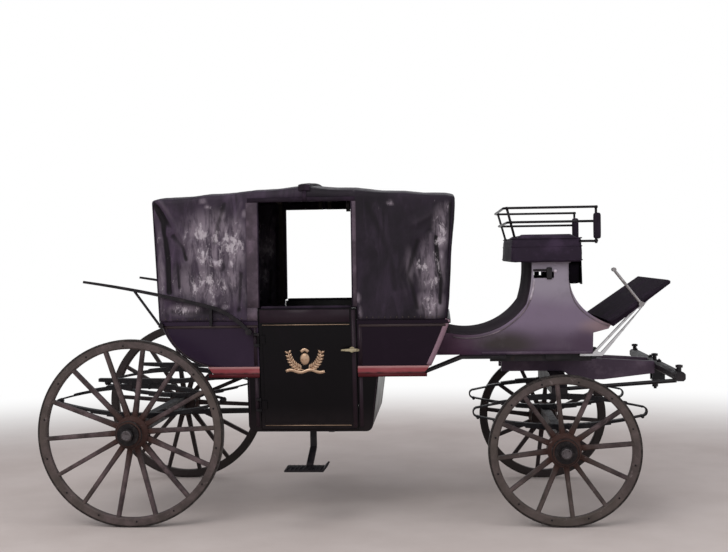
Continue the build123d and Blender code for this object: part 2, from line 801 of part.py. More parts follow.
for hood_name, start_x, run, rise, side_outline, void_outline in hood_table:
    slope = math.hypot(run, rise)
    slope_dir = (run / slope, 0, rise / slope)
    with BuildPart() as hood_void:
        with Locations((start_x, 0, 0)):
            add(hood_arch(hood_half - hood_t, hood_end_z - hood_t, hood_crown, hood_below_z))
        extrude(amount=slope + 30, dir=slope_dir)
        with BuildSketch(Plane.XZ):
            with BuildLine():
                Polyline(*void_outline, close=True)
            make_face()
        extrude(amount=700, both=True, mode=Mode.INTERSECT)
    with BuildPart() as hood:
        with Locations((start_x, 0, 0)):
            add(hood_arch(hood_half, hood_end_z, hood_crown, hood_below_z))
        extrude(amount=slope, dir=slope_dir)
        with BuildSketch(Plane.XZ):
            with BuildLine():
                Polyline(*side_outline, close=True)
            make_face()
        extrude(amount=700, both=True, mode=Mode.INTERSECT)
        wall_end = Axis.X if hood_name == "front" else -Axis.X
        end_faces = hood.faces().filter_by(lambda face: abs(face.normal_at().Y) < 0.01)
        end_faces = end_faces.filter_by(lambda face: abs(face.normal_at().Z) < 0.2).sort_by(wall_end)[-2:]
        end_sides = [e for face in end_faces for e in face.edges() if abs(e.tangent_at(0.5).Z) > 0.9]
        fillet(end_sides, hood_corner_r)
        add(hood_void.part, mode=Mode.SUBTRACT)
    hood.part.label = f"{hood_name}_hood"
    export_step(hood.part, f"parts/{hood_name}_hood.step")
    hoods[hood_name] = hood.part
    with BuildPart() as bows:
        with Locations((start_x, 0, 0)):
            add(hood_arch(hood_half - hood_t, hood_end_z - hood_t, hood_crown, belt_z))
        extrude(amount=slope + 30, dir=slope_dir)
        with Locations((start_x, 0, 0)):
            add(hood_arch(hood_half - hood_t - bow_t, hood_end_z - hood_t - bow_t, hood_crown, hood_below_z))
        extrude(amount=slope + 30, dir=slope_dir, mode=Mode.SUBTRACT)
        with BuildSketch(Plane.XZ):
            for index, bow_x in enumerate(bow_stations[hood_name]):
                low = window_top_z if index == 3 else belt_z
                with Locations((bow_x + bow_w / 2, (low + hood_above_z) / 2)):
                    Rectangle(bow_w, hood_above_z - low)
        extrude(amount=700, both=True, mode=Mode.INTERSECT)
        add(hood.part, mode=Mode.SUBTRACT)
    bow_parts.append(bows.part)
    with BuildPart() as joint:
        with Locations((start_x, 0, 0)):
            add(hood_arch(hood_half + 8, hood_end_z + 12, hood_crown, hood_end_z - 22))
        extrude(amount=slope + 2, dir=slope_dir)
        with Locations((start_x, 0, 0)):
            add(hood_arch(hood_half, hood_end_z, hood_crown, hood_below_z))
        extrude(amount=slope + 2, dir=slope_dir, mode=Mode.SUBTRACT)
        with BuildSketch(Plane.XZ):
            reach = 34 if hood_name == "rear" else -34
            with Locations((hood_joint_x - (reach + math.copysign(1, reach)) / 2, hood_end_z + 50)):
                Rectangle(abs(reach) - 1, 400)
        extrude(amount=700, both=True, mode=Mode.INTERSECT)
    joint_parts.append(joint.part)

with BuildPart() as hood_bows:
    for part in bow_parts:
        add(part)
hood_bows.part.label = "hood_bows"
export_step(hood_bows.part, "parts/hood_bows.step")

with BuildPart() as roof_joint:
    for part in joint_parts:
        add(part)
roof_joint.part.label = "roof_joint"
export_step(roof_joint.part, "parts/roof_joint.step")

# Inside seats: cushions and squabs
inside_half = 548.0
# name, rear outline and front outline in x and z
inside_table = (
    (
        "cushions",
        (
            ((sx(432), 956), (sx(694), 956), (sx(694), 1034), (sx(302), 1034), (sx(347), 1000)),
            ((sx(1464), 956), (sx(1800), 956), (sx(1800), 1034), (sx(1464), 1034)),
        ),
    ),
    (
        "squabs",
        (
            (
                (sx(322), 1034.3),
                (sx(402), 1034.3),
                (sx(292), 1500),
                (sx(162), 1500),
                (sx(178), 1250),
                (sx(238), 1150),
            ),
            ((sx(1748), 1034.3), (sx(1830), 1034.3), (sx(1866), 1200), (sx(1868), 1430), (sx(1790), 1430)),
        ),
    ),
)
for name, outlines in inside_table:
    with BuildPart() as soft:
        for outline in outlines:
            with BuildSketch(Plane.XZ):
                with BuildLine():
                    Polyline(*outline, close=True)
                make_face()
            extrude(amount=inside_half, both=True)
        add(body_rear.part, mode=Mode.SUBTRACT)
        add(body_front.part, mode=Mode.SUBTRACT)
    soft.part.label = name
    export_step(soft.part, f"parts/{name}.step")

# Boot body with its swept neck, carried back to the cabin's curved front panel
saddle_z = 1150.0
neck_rise = seat_bottom_z - saddle_z
neck_window_x = (seat_rear_x + seat_front_x) / 2 - 17
neck_window_z = seat_bottom_z - 77
neck_window_w = 122.0
neck_window_h = 39.0
with BuildPart() as boot:
    with BuildSketch(Plane.XZ):
        with BuildLine():
            saddle = ThreePointArc(
                (front_top_x + 4, 1118),
                (sx(2210), saddle_z),
                (sx(2372), saddle_z + neck_rise * 140 / 393),
            )
            neck_back = ThreePointArc(
                saddle @ 1,
                (sx(2398), saddle_z + neck_rise * 250 / 393),
                (sx(2406), seat_bottom_z),
            )
            neck_top = Line(neck_back @ 1, (sx(2643), seat_bottom_z))
            neck_front = ThreePointArc(
                neck_top @ 1,
                (sx(2668), saddle_z + neck_rise * 170 / 393),
                (sx(2740), saddle_z + neck_rise * 86 / 393),
            )
            toe = ThreePointArc(neck_front @ 1, (sx(2800), 1196), (sx(2878), 1160))
            Polyline(
                toe @ 1,
                (sx(2864), 1136),
                (sx(2772), 1112),
                (sx(2768), boot_bottom_z),
                (front_foot_x, boot_bottom_z),
                (front_foot_x, 1118),
                saddle @ 0,
            )
        make_face()
    extrude(amount=boot_half, both=True)
    with BuildSketch(Plane.XZ):
        with Locations((neck_window_x, neck_window_z)):
            Rectangle(neck_window_w, neck_window_h)
    extrude(amount=700, both=True, mode=Mode.SUBTRACT)
    with BuildSketch(Plane.XZ):
        with BuildLine():
            panel_line = ThreePointArc(
                (front_foot_x, panel_bottom_z), (front_mid_x, front_mid_z), (front_top_x, belt_z)
            )
            Polyline(
                panel_line @ 1,
                (front_foot_x - 60, belt_z),
                (front_foot_x - 60, panel_bottom_z),
                panel_line @ 0,
            )
        make_face()
    extrude(amount=700, both=True, mode=Mode.SUBTRACT)
    add(body_front.part, mode=Mode.SUBTRACT)
boot.part.label = "boot"
export_step(boot.part, "parts/boot.step")

# Driver's seat
board_t = 16.0
with BuildPart() as seat_box:
    with BuildSketch(Plane.XY.offset(seat_bottom_z)):
        with Locations(((seat_rear_x + seat_front_x) / 2, 0)):
            Rectangle(seat_front_x - seat_rear_x, 2 * seat_half)
    extrude(amount=seat_top_z - seat_bottom_z)
    with BuildSketch(Plane.XY.offset(seat_top_z - 60)):
        with Locations(((seat_rear_x + seat_front_x) / 2, 0)):
            Rectangle(seat_front_x - seat_rear_x - 2 * board_t, 2 * (seat_half - board_t))
    extrude(amount=100, mode=Mode.SUBTRACT)
seat_box.part.label = "driver_seat_box"
export_step(seat_box.part, "parts/driver_seat_box.step")

with BuildPart() as driver_cushion:
    with BuildSketch(Plane.XY.offset(seat_top_z - 59.7)):
        with Locations(((seat_rear_x + seat_front_x) / 2, 0)):
            Rectangle(seat_front_x - seat_rear_x - 2 * board_t - 1, 2 * (seat_half - board_t) - 1)
    extrude(amount=56)
driver_cushion.part.label = "driver_cushion"
export_step(driver_cushion.part, "parts/driver_cushion.step")

with BuildPart() as seat_fall:
    with BuildSketch(Plane.XY.offset(seat_bottom_z - 138)):
        with Locations((seat_front_x - 36, 0)):
            Rectangle(84, 2 * fall_half)
    extrude(amount=138)
    add(boot.part, mode=Mode.SUBTRACT)
seat_fall.part.label = "seat_fall"
export_step(seat_fall.part, "parts/seat_fall.step")

# Rails round the driver's seat: two bent bars on raked back posts and upright front posts
rail_front_x = seat_front_x + 80
hook_z = seat_top_z - 25
with BuildPart() as seat_rails:
    for rail_z in (rail_top_z, rail_mid_z):
        inset = (rail_top_z - rail_z) * 0.28
        rail_y = rail_half - inset / 2
        back_rail_x = seat_rear_x - 54 + inset
        with BuildLine() as rail_path:
            Polyline(
                (rail_front_x, -rail_y, rail_z),
                (back_rail_x + rail_bend, -rail_y, rail_z),
                (back_rail_x + 0.25 * rail_bend, -rail_y + 0.25 * rail_bend, rail_z),
                (back_rail_x, -rail_y + rail_bend, rail_z),
                (back_rail_x, rail_y - rail_bend, rail_z),
                (back_rail_x + 0.25 * rail_bend, rail_y - 0.25 * rail_bend, rail_z),
                (back_rail_x + rail_bend, rail_y, rail_z),
                (rail_front_x, rail_y, rail_z),
            )
        with BuildSketch(Plane(origin=(rail_front_x, -rail_y, rail_z), z_dir=(-1, 0, 0))):
            RegularPolygon(rail_r, 8)
        sweep(path=rail_path.wire(), transition=Transition.RIGHT)
    for side in (1, -1):
        # low end, high end
        for low_end, high_end in (
            ((seat_rear_x + 14, seat_half - 14, seat_top_z), (seat_rear_x - 34, rail_half - 22, rail_top_z)),
            (
                (rail_front_x, rail_half - 6, hook_z - rail_r),
                (rail_front_x, rail_half - 4, rail_top_z + rail_r),
            ),
            (
                (rail_front_x + rail_r, rail_half - 6, hook_z),
                (seat_front_x - 30, seat_half - 5, hook_z),
            ),
        ):
            low_point = Vector(low_end[0], side * low_end[1], low_end[2])
            post_run = Vector(high_end[0], side * high_end[1], high_end[2]) - low_point
            with BuildSketch(Plane(origin=low_point, z_dir=post_run)):
                RegularPolygon(rail_r - 1, 8)
            extrude(amount=post_run.length)
    add(seat_box.part, mode=Mode.SUBTRACT)
seat_rails.part.label = "seat_rails"
export_step(seat_rails.part, "parts/seat_rails.step")

with BuildPart() as arm_pads:
    for side in (1, -1):
        with BuildSketch(Plane.XZ.offset(-side * (rail_half - 5) - 18)):
            with BuildLine():
                Polyline(
                    (rail_front_x - 18, rail_top_z - 32),
                    (rail_front_x + 30, rail_top_z - 36),
                    (rail_front_x + 26, seat_top_z - 12),
                    (rail_front_x - 18, seat_top_z - 14),
                    close=True,
                )
            make_face()
        extrude(amount=36)
    add(seat_rails.part, mode=Mode.SUBTRACT)
arm_pads.part.label = "arm_pads"
export_step(arm_pads.part, "parts/arm_pads.step")

# Sloping footboard, its stays and the brake lever
board_half = 520.0
board_low = (sx(2870), 1172.0)
board_high = (sx(3220), 1408.0)
board_run = Vector(board_high[0] - board_low[0], 0, board_high[1] - board_low[1])
with BuildPart() as footboard:
    with BuildSketch(Plane.XZ):
        with BuildLine():
            Polyline(
                (board_low[0] - 14, board_low[1] + 14),
                (board_high[0] - 12, board_high[1] + 20),
                board_high,
                (board_low[0] + 12, board_low[1] - 18),
                close=True,
            )
        make_face()
    extrude(amount=board_half, both=True)
    add(boot.part, mode=Mode.SUBTRACT)
footboard.part.label = "footboard"
export_step(footboard.part, "parts/footboard.step")

with BuildPart() as footboard_stays:
    for side in (1, -1):
        with BuildSketch(Plane.XZ.offset(-side * 438 - 11)):
            with BuildLine():
                Polyline(
                    (sx(2690), boot_bottom_z),
                    (sx(2690), boot_bottom_z - 14),
                    (sx(2826), boot_bottom_z - 14),
                    (sx(3110), 1316),
                    (sx(3040), 1276),
                    (sx(2762), boot_bottom_z),
                    close=True,
                )
            make_face()
        extrude(amount=22)
        with BuildSketch(Plane.XZ.offset(-side * 438 - 12)):
            with BuildLine():
                Polyline(
                    (sx(2794), boot_bottom_z + 14),
                    (sx(2815), boot_bottom_z + 6),
                    (sx(3052), 1250),
                    (sx(3038), 1256),
                    close=True,
                )
            make_face()
        extrude(amount=24, mode=Mode.SUBTRACT)
    add(footboard.part, mode=Mode.SUBTRACT)
    add(boot.part, mode=Mode.SUBTRACT)
footboard_stays.part.label = "footboard_stays"
export_step(footboard_stays.part, "parts/footboard_stays.step")

lever_top = (sx(2885), 1494.0)
lever_foot = (sx(3046), 1286.0)
lever_run = Vector(lever_foot[0] - lever_top[0], 0, lever_foot[1] - lever_top[1])
with BuildPart() as brake_lever:
    with BuildSketch(Plane(origin=(lever_top[0], -board_half - 12, lever_top[1]), z_dir=lever_run)):
        RegularPolygon(9, 8)
    extrude(amount=lever_run.length)
    with BuildSketch(Plane.XZ.offset(board_half - 8)):
        with Locations(lever_top):
            RegularPolygon(13, 8)
    extrude(amount=48)
    with BuildSketch(Plane.XZ.offset(board_half)):
        with Locations(lever_foot):
            RegularPolygon(17, 8)
    extrude(amount=22)
    add(footboard.part, mode=Mode.SUBTRACT)
brake_lever.part.label = "brake_lever"
export_step(brake_lever.part, "parts/brake_lever.step")

# Long head levers on the cabin sides with their props
lever_y = 640.0
with BuildPart() as head_levers:
    for side in (1, -1):
        with BuildSketch(Plane.XZ.offset(-side * lever_y - 9)):
            with BuildLine():
                top = ThreePointArc((sx(-305), 1470), (sx(200), 1378), (sx(494), 1306))
                top2 = ThreePointArc(top @ 1, (sx(620), 1240), (sx(716), 1150))
                tail = Line(top2 @ 1, (sx(704), 1138))
                low2 = ThreePointArc(tail @ 1, (sx(606), 1222), (sx(490), 1286))
                low = ThreePointArc(low2 @ 1, (sx(200), 1358), (sx(-308), 1456))
                Line(low @ 1, top @ 0)
            make_face()
        extrude(amount=18)
        with BuildSketch(Plane.XZ.offset(-side * (lever_y - 10) - 21)):
            with Locations((sx(700), 1150)):
                RegularPolygon(20, 12)
        extrude(amount=42)
        with BuildSketch(Plane.XZ.offset(-side * (lever_y - 3) - 14)):
            with Locations((sx(472), 1246)):
                Rectangle(16, 110)
        extrude(amount=28)
    add(body_rear.part, mode=Mode.SUBTRACT)
head_levers.part.label = "head_levers"
export_step(head_levers.part, "parts/head_levers.step")

prop_run = Vector(sx(154) - sx(8), 0, 1200 - 1402)
with BuildPart() as head_props:
    for side in (1, -1):
        with BuildSketch(Plane(origin=(sx(8), side * lever_y, 1402), z_dir=prop_run)):
            RegularPolygon(8, 8)
        extrude(amount=prop_run.length)
        with BuildSketch(Plane.XZ.offset(-side * (lever_y - 12) - 20)):
            with Locations((sx(166), 1192)):
                RegularPolygon(15, 12)
        extrude(amount=40)
    add(head_levers.part, mode=Mode.SUBTRACT)
    add(body_rear.part, mode=Mode.SUBTRACT)
head_props.part.label = "head_props"
export_step(head_props.part, "parts/head_props.step")

# Hanging steps
with BuildPart() as steps:
    for side in (1, -1):
        with BuildSketch(Plane.YZ.offset(sx(1040))):
            with BuildLine():
                Polyline(
                    (side * 440, well_z),
                    (side * 458, well_z),
                    (side * 458, 430),
                    (side * 690, 352),
                    (side * 690, 334),
                    (side * 440, 418),
                    close=True,
                )
            make_face()
        extrude(amount=40)
        with BuildSketch(Plane.XZ.offset(-side * 750 - 85)):
            with BuildLine():
                Polyline(
                    (sx(929), 352),
                    (sx(1150), 352),
                    (sx(1172), 376),
                    (sx(1182), 372),
                    (sx(1158), 342),
                    (sx(929), 342),
                    close=True,
                )
            make_face()
        extrude(amount=170)
steps.part.label = "steps"
export_step(steps.part, "parts/steps.step")

# Body irons over the rear springs and the stay to the foot-well
with BuildPart() as rear_irons:
    for side in (1, -1):
        with BuildSketch(Plane.XZ.offset(-side * rear_spring_y - 22)):
            with BuildLine():
                Polyline(
                    (sx(-262), rear_block_z + 14),
                    (sx(-262), rear_block_z + 34),
                    (sx(250), rear_block_z + 28),
                    (sx(470), iron_bottom_z),
                    (sx(640), iron_bottom_z),
                    (sx(640), iron_bottom_z - 20),
                    (sx(470), iron_bottom_z - 24),
                    (sx(250), rear_block_z),
                    (sx(-70), rear_block_z),
                    close=True,
                )
            make_face()
        extrude(amount=44)
rear_irons.part.label = "rear_body_irons"
export_step(rear_irons.part, "parts/rear_body_irons.step")

with BuildPart() as rear_stay:
    with BuildSketch(Plane.XZ.offset(-24)):
        with BuildLine():
            Polyline(
                (rear_x + 28, 566),
                (rear_x + 28, 600),
                (well_rear_x, 604),
                (well_rear_x, 576),
                close=True,
            )
        make_face()
    extrude(amount=48)
rear_stay.part.label = "rear_stay"
export_step(rear_stay.part, "parts/rear_stay.step")

# Transom, boot frame beams and upper wheel plate under the boot
beam_w = 46.0
beam_y = iron_in - 1 - beam_w / 2
beam_rear_x = sx(2150)
beam_front_x = sx(2764)
beam_bottom_z = 940.0
with BuildPart() as transom:
    with BuildSketch(Plane.XY.offset(upper_ring_z + ring_t)):
        with Locations((front_x, 0)):
            Rectangle(150, 2 * 430)
            Rectangle(2 * ring_r, 90)
            Circle(king_r, mode=Mode.SUBTRACT)
    extrude(amount=boot_bottom_z - upper_ring_z - ring_t)
    with BuildSketch(Plane.XY.offset(beam_bottom_z)):
        beam_mid_x = (beam_rear_x + beam_front_x) / 2
        with Locations((beam_mid_x, beam_y), (beam_mid_x, -beam_y)):
            Rectangle(beam_front_x - beam_rear_x, beam_w)
    extrude(amount=boot_bottom_z - beam_bottom_z)
transom.part.label = "transom"
export_step(transom.part, "parts/transom.step")

# name, height, node
for ring_name, ring_z in (("upper_wheel_plate", upper_ring_z), ("lower_wheel_plate", lower_ring_z)):
    with BuildPart() as ring:
        with BuildSketch(Plane.XY.offset(ring_z)):
            with Locations((front_x, 0)):
                Circle(ring_r)
                Circle(ring_r - ring_w, mode=Mode.SUBTRACT)
        extrude(amount=ring_t)
    ring.part.label = ring_name
    export_step(ring.part, f"parts/{ring_name}.step")

with BuildPart() as kingbolt:
    with BuildSketch(Plane.XY.offset(front_block_z - 8)):
        with Locations((front_x, 0)):
            Circle(king_r)
    extrude(amount=boot_bottom_z - front_block_z + 8)
    with BuildSketch(Plane.XY.offset(front_block_z - 30)):
        with Locations((front_x, 0)):
            RegularPolygon(26, 6)
    extrude(amount=24)
kingbolt.part.label = "kingbolt"
export_step(kingbolt.part, "parts/kingbolt.step")

# Fore-carriage bed, futchells, splinter bar and pole socket
with BuildPart() as fore_bed:
    with BuildSketch(Plane.YZ.offset(front_x - 48)):
        with BuildLine():
            Polyline(
                (-480, front_block_z),
                (480, front_block_z),
                (480, front_block_z + 40),
                (320, futchell_bottom_z),
                (-320, futchell_bottom_z),
                (-480, front_block_z + 40),
                close=True,
            )
        make_face()
    extrude(amount=96)
    with BuildSketch(Plane.XY.offset(front_block_z - 10)):
        with Locations((front_x, 0)):
            Circle(king_r + running_gap)
    extrude(amount=200, mode=Mode.SUBTRACT)
fore_bed.part.label = "fore_bed"
export_step(fore_bed.part, "parts/fore_bed.step")

# side outline of the futchells: notched over the bed, deep in the middle, tapering to the bar
futchell_step_x = front_x + 56
futchell_run = splinter_x - futchell_step_x
with BuildPart() as futchells:
    with BuildSketch(Plane.XZ):
        with BuildLine():
            Polyline(
                (sx(2230), futchell_top_z),
                (futchell_step_x + futchell_run * 243 / 600, futchell_top_z),
                (splinter_x - splinter_d / 2, futchell_top_z - 18),
                (splinter_x - splinter_d / 2, futchell_deep_z + 36),
                (futchell_step_x + futchell_run * 249 / 600, futchell_deep_z),
                (futchell_step_x + futchell_run * 61 / 600, futchell_deep_z),
                (futchell_step_x, futchell_bottom_z),
                (sx(2230), futchell_bottom_z),
                close=True,
            )
        make_face()
    extrude(amount=200, both=True)
    with BuildSketch(Plane.XY.offset(futchell_deep_z - 20)):
        for side in (1, -1):
            with BuildLine():
                Polyline(
                    (sx(2230), side * 190),
                    (splinter_x - splinter_d / 2, side * 150),
                    (splinter_x - splinter_d / 2, side * 96),
                    (sx(2230), side * 136),
                    close=True,
                )
            make_face()
    extrude(amount=200, mode=Mode.INTERSECT)
    with BuildSketch(Plane.XY.offset(futchell_bottom_z)):
        with Locations((sx(2270), 0), (futchell_step_x + futchell_run * 241 / 600, 0)):
            Rectangle(54, 300)
    extrude(amount=futchell_top_z - futchell_bottom_z - 12)
futchells.part.label = "futchells"
export_step(futchells.part, "parts/futchells.step")

with BuildPart() as splinter_bar:
    with BuildSketch(Plane.XZ.offset(-splinter_half)):
        with Locations((splinter_x, splinter_z)):
            bar_box = Rectangle(splinter_d, splinter_h)
        chamfer(bar_box.vertices(), 12)
    extrude(amount=2 * splinter_half)
splinter_bar.part.label = "splinter_bar"
export_step(splinter_bar.part, "parts/splinter_bar.step")

splinter_top_z = splinter_z + splinter_h / 2
with BuildPart() as roller_bolts:
    for bolt_y in (0, 745, -745):
        with BuildSketch(Plane.XY.offset(splinter_top_z)):
            with Locations((splinter_x, bolt_y)):
                RegularPolygon(13, 8)
        extrude(amount=40)
        with BuildSketch(Plane.XY.offset(splinter_top_z + 24)):
            with Locations((splinter_x, bolt_y)):
                RegularPolygon(21, 12)
        extrude(amount=14)
roller_bolts.part.label = "roller_bolts"
export_step(roller_bolts.part, "parts/roller_bolts.step")

socket_half = 46.0
socket_rear_x = splinter_x - 22
socket_wall = 8.0
socket_top_z = splinter_z - splinter_h / 2
socket_h = 78.0
with BuildPart() as pole_socket:
    with BuildSketch(Plane.YZ.offset(socket_rear_x)):
        with Locations((0, socket_top_z - socket_h / 2)):
            Rectangle(2 * socket_half, socket_h)
            Rectangle(2 * (socket_half - socket_wall), socket_h - 2 * socket_wall, mode=Mode.SUBTRACT)
    extrude(amount=front_tip_x - socket_rear_x)
    with BuildSketch(Plane.XZ):
        with Locations((front_tip_x - 24, socket_top_z - socket_h / 2)):
            Circle(9)
    extrude(amount=100, both=True, mode=Mode.SUBTRACT)
    with BuildSketch(Plane.XY.offset(socket_top_z - socket_h - 56)):
        with Locations((splinter_x + 2, 0)):
            RegularPolygon(10, 8)
    extrude(amount=56)
    with BuildSketch(Plane.XY.offset(socket_top_z - socket_h - 44)):
        with Locations((splinter_x + 2, 0)):
            RegularPolygon(19, 6)
    extrude(amount=18)
pole_socket.part.label = "pole_socket"
export_step(pole_socket.part, "parts/pole_socket.step")

stay_root_x = front_x + 37
with BuildPart() as splinter_stays:
    for side in (1, -1):
        stay_run = Vector(splinter_x - 7 - stay_root_x, side * (700 - 440), splinter_z - 30 - 772)
        with BuildSketch(Plane(origin=(stay_root_x, side * 440, 772), z_dir=stay_run)):
            Circle(12)
        extrude(amount=stay_run.length)
    add(splinter_bar.part, mode=Mode.SUBTRACT)
    add(fore_bed.part, mode=Mode.SUBTRACT)
splinter_stays.part.label = "splinter_stays"
export_step(splinter_stays.part, "parts/splinter_stays.step")
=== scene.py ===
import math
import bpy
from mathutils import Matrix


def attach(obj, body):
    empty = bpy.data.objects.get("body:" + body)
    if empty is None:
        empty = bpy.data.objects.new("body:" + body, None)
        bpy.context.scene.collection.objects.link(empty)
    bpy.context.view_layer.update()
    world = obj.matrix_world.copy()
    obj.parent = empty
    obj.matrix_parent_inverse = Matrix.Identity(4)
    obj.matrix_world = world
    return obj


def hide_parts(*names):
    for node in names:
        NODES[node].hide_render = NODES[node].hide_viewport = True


bl_info = {
    "name": "Landau carriage dressing",
    "version": (1, 0, 0),
    "blender": (4, 5, 0),
    "location": "3D View > Sidebar > Carriage",
    "description": "Leather heads, trimming, mouldings and paint for a closed landau carriage",
    "category": "Object",
}

import bmesh
import bpy
from bpy.props import FloatProperty, FloatVectorProperty, IntProperty, PointerProperty
from mathutils import Matrix, Vector, noise

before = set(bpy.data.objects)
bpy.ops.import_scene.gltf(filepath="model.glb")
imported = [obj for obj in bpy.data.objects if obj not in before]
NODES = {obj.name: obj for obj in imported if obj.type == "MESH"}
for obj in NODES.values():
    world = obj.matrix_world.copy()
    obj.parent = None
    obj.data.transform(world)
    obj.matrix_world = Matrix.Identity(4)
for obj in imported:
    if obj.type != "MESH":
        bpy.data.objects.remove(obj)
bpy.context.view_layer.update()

# Places shared by several pieces, in metres. Stations run forward from the rear axle.
REAR_X = -1.3575
FRONT_X = REAR_X + 2.563
BELT_Z = 1.215
BELT_HALF = 0.610
LEAN = 0.080 / 0.683
HEAD_HALF = 0.618
HEAD_END_Z = 1.950
HEAD_JOINT_Z = 2.018
HEAD_CROWN = 0.036
WINDOW_TOP_Z = 1.928
# Half the width of the cabin's cushions.
TRIM_HALF = 0.528
# The height where dust on the coach paint is thickest. It thins out above.
DUST_Z = 0.55
# The distance between the puckers over the heads' nails.
PUCKER_GAP = 0.068
# Frames that a pad takes to fill with air.
CLOTH_FRAMES = 20
# The body that most pieces ride on, and the two sides with their way across.
BODY = "carriage_body"
SIDES = (("right", -1), ("left", 1))
# Wheels: the axle's place along, its side and distance from the middle, the radius and the spokes.
WHEELS = {
    "rear_right": (REAR_X, -1, 0.750, 0.560, 14),
    "rear_left": (REAR_X, 1, 0.750, 0.560, 14),
    "front_right": (FRONT_X, -1, 0.735, 0.445, 12),
    "front_left": (FRONT_X, 1, 0.735, 0.445, 12),
}
# The two leather heads. Wall: the end wall's stations at the belt, at its bend and at the top, and the
# bend's share of the height. Edge: where the window opening starts. Joint: where the heads meet. Bows:
# distances from the end wall. Folds: the point that each fans out from, its angle, width, depth and length.
# Creases: depth, width and a line of (station, height) points. Rubs: worn places with their reach along
# and up, and how worn they are. Notch: where the side steps down in front of the door.
HEADS = {
    "rear": {
        "wall": (0.141, 0.129, 0.109, 0.51),
        "edge": 0.745,
        "joint": 1.044,
        "bows": (0.05, 0.33, 0.62, 0.90),
        "notch": None,
        "folds": (
            ((0.02, 0.715), 52.0, 3.6, 0.6, 0.70),
            ((0.02, 0.715), 36.0, 4.0, -0.5, 0.60),
            ((0.60, 0.755), 100.0, 3.0, 0.6, 0.70),
            ((0.60, 0.755), 112.0, 3.4, -0.5, 0.60),
        ),
        "creases": (
            (
                -0.0105, 0.0210, (0.124, 1.935), (0.165, 1.862), (0.185, 1.801),
                (0.201, 1.704), (0.214, 1.586), (0.216, 1.395),
            ),
            (-0.0060, 0.0170, (0.150, 1.905), (0.216, 1.819), (0.263, 1.721), (0.300, 1.660), (0.318, 1.590)),
            (-0.0065, 0.0160, (0.235, 1.730), (0.262, 1.640), (0.268, 1.540), (0.274, 1.420)),
            (0.0050, 0.0130, (0.360, 1.695), (0.400, 1.640), (0.450, 1.590), (0.520, 1.545)),
            (0.0040, 0.0180, (0.665, 1.930), (0.625, 1.800), (0.600, 1.660), (0.590, 1.520)),
            (-0.0035, 0.0200, (0.560, 1.920), (0.520, 1.800), (0.500, 1.690)),
            (-0.0030, 0.0240, (0.230, 1.275), (0.360, 1.262), (0.520, 1.280), (0.650, 1.262)),
            (-0.0040, 0.0160, (0.655, 1.500), (0.648, 1.400), (0.640, 1.290)),
        ),
        "rubs": (
            (0.541, 1.849, 0.030, 0.045, 0.9), (0.564, 1.771, 0.026, 0.045, 0.9),
            (0.580, 1.662, 0.034, 0.055, 1.0), (0.597, 1.566, 0.032, 0.052, 1.0),
            (0.614, 1.493, 0.032, 0.045, 0.9), (0.649, 1.787, 0.030, 0.030, 0.8),
            (0.681, 1.859, 0.024, 0.032, 0.7), (0.432, 1.942, 0.032, 0.020, 0.8),
            (0.456, 1.905, 0.026, 0.020, 0.8), (0.440, 1.615, 0.165, 0.120, 0.95),
            (0.500, 1.566, 0.090, 0.055, 1.0), (0.623, 1.674, 0.100, 0.220, 0.95),
            (0.501, 1.326, 0.050, 0.026, 0.8), (0.555, 1.301, 0.036, 0.026, 0.7),
            (0.636, 1.402, 0.090, 0.120, 0.40), (0.460, 1.740, 0.230, 0.180, 0.85),
            (0.450, 1.440, 0.280, 0.180, 0.80), (0.168, 1.500, 0.034, 0.400, 0.65),
            (0.570, 1.720, 0.050, 0.160, 1.0), (0.600, 1.460, 0.090, 0.120, 0.8),
            (0.310, 1.285, 0.140, 0.050, 0.85),
        ),
    },
    "front": {
        "wall": (1.890, 1.918, 1.943, 0.39),
        "edge": 1.326,
        "joint": 1.046,
        "bows": (0.06, 0.31, 0.60, 0.87),
        "notch": (1.3555, 1.2925),
        "folds": (
            ((0.02, 0.705), 76.0, 3.4, 0.5, 0.80),
            ((0.02, 0.705), 50.0, 4.0, 0.4, 0.60),
            ((0.60, 0.755), 96.0, 3.4, 0.4, 0.60),
        ),
        "creases": (
            (-0.0040, 0.0210, (1.720, 1.680), (1.693, 1.592), (1.655, 1.479), (1.690, 1.389), (1.712, 1.282)),
            (0.0060, 0.0120, (1.800, 1.720), (1.793, 1.578), (1.802, 1.495), (1.782, 1.430), (1.775, 1.340)),
            (-0.0050, 0.0150, (1.832, 1.700), (1.841, 1.554), (1.856, 1.440), (1.850, 1.310)),
            (-0.0040, 0.0110, (1.918, 1.900), (1.912, 1.700), (1.902, 1.520)),
            (-0.0030, 0.0300, (1.420, 1.905), (1.500, 1.740), (1.560, 1.560), (1.580, 1.400)),
            (0.0030, 0.0260, (1.860, 1.900), (1.780, 1.830), (1.700, 1.790)),
        ),
        "rubs": (
            (1.842, 1.685, 0.030, 0.050, 0.9), (1.793, 1.578, 0.034, 0.075, 1.0),
            (1.804, 1.495, 0.030, 0.065, 1.0), (1.782, 1.440, 0.032, 0.050, 0.9),
            (1.728, 1.538, 0.024, 0.040, 0.8), (1.859, 1.595, 0.026, 0.050, 0.8),
            (1.754, 1.329, 0.024, 0.040, 0.9), (1.814, 1.352, 0.028, 0.040, 0.9),
            (1.789, 1.250, 0.026, 0.030, 0.9), (1.832, 1.328, 0.028, 0.040, 0.9),
            (1.360, 1.346, 0.020, 0.040, 0.9), (1.372, 1.262, 0.022, 0.045, 0.9),
            (1.898, 1.880, 0.026, 0.050, 0.7), (1.560, 1.910, 0.028, 0.018, 0.8),
            (1.800, 1.520, 0.110, 0.230, 0.85), (1.795, 1.310, 0.105, 0.115, 1.0),
            (1.860, 1.750, 0.065, 0.170, 0.9), (1.730, 1.540, 0.050, 0.110, 0.7),
            (1.845, 1.680, 0.055, 0.070, 1.0), (1.668, 1.520, 0.040, 0.150, 0.4),
        ),
    },
}
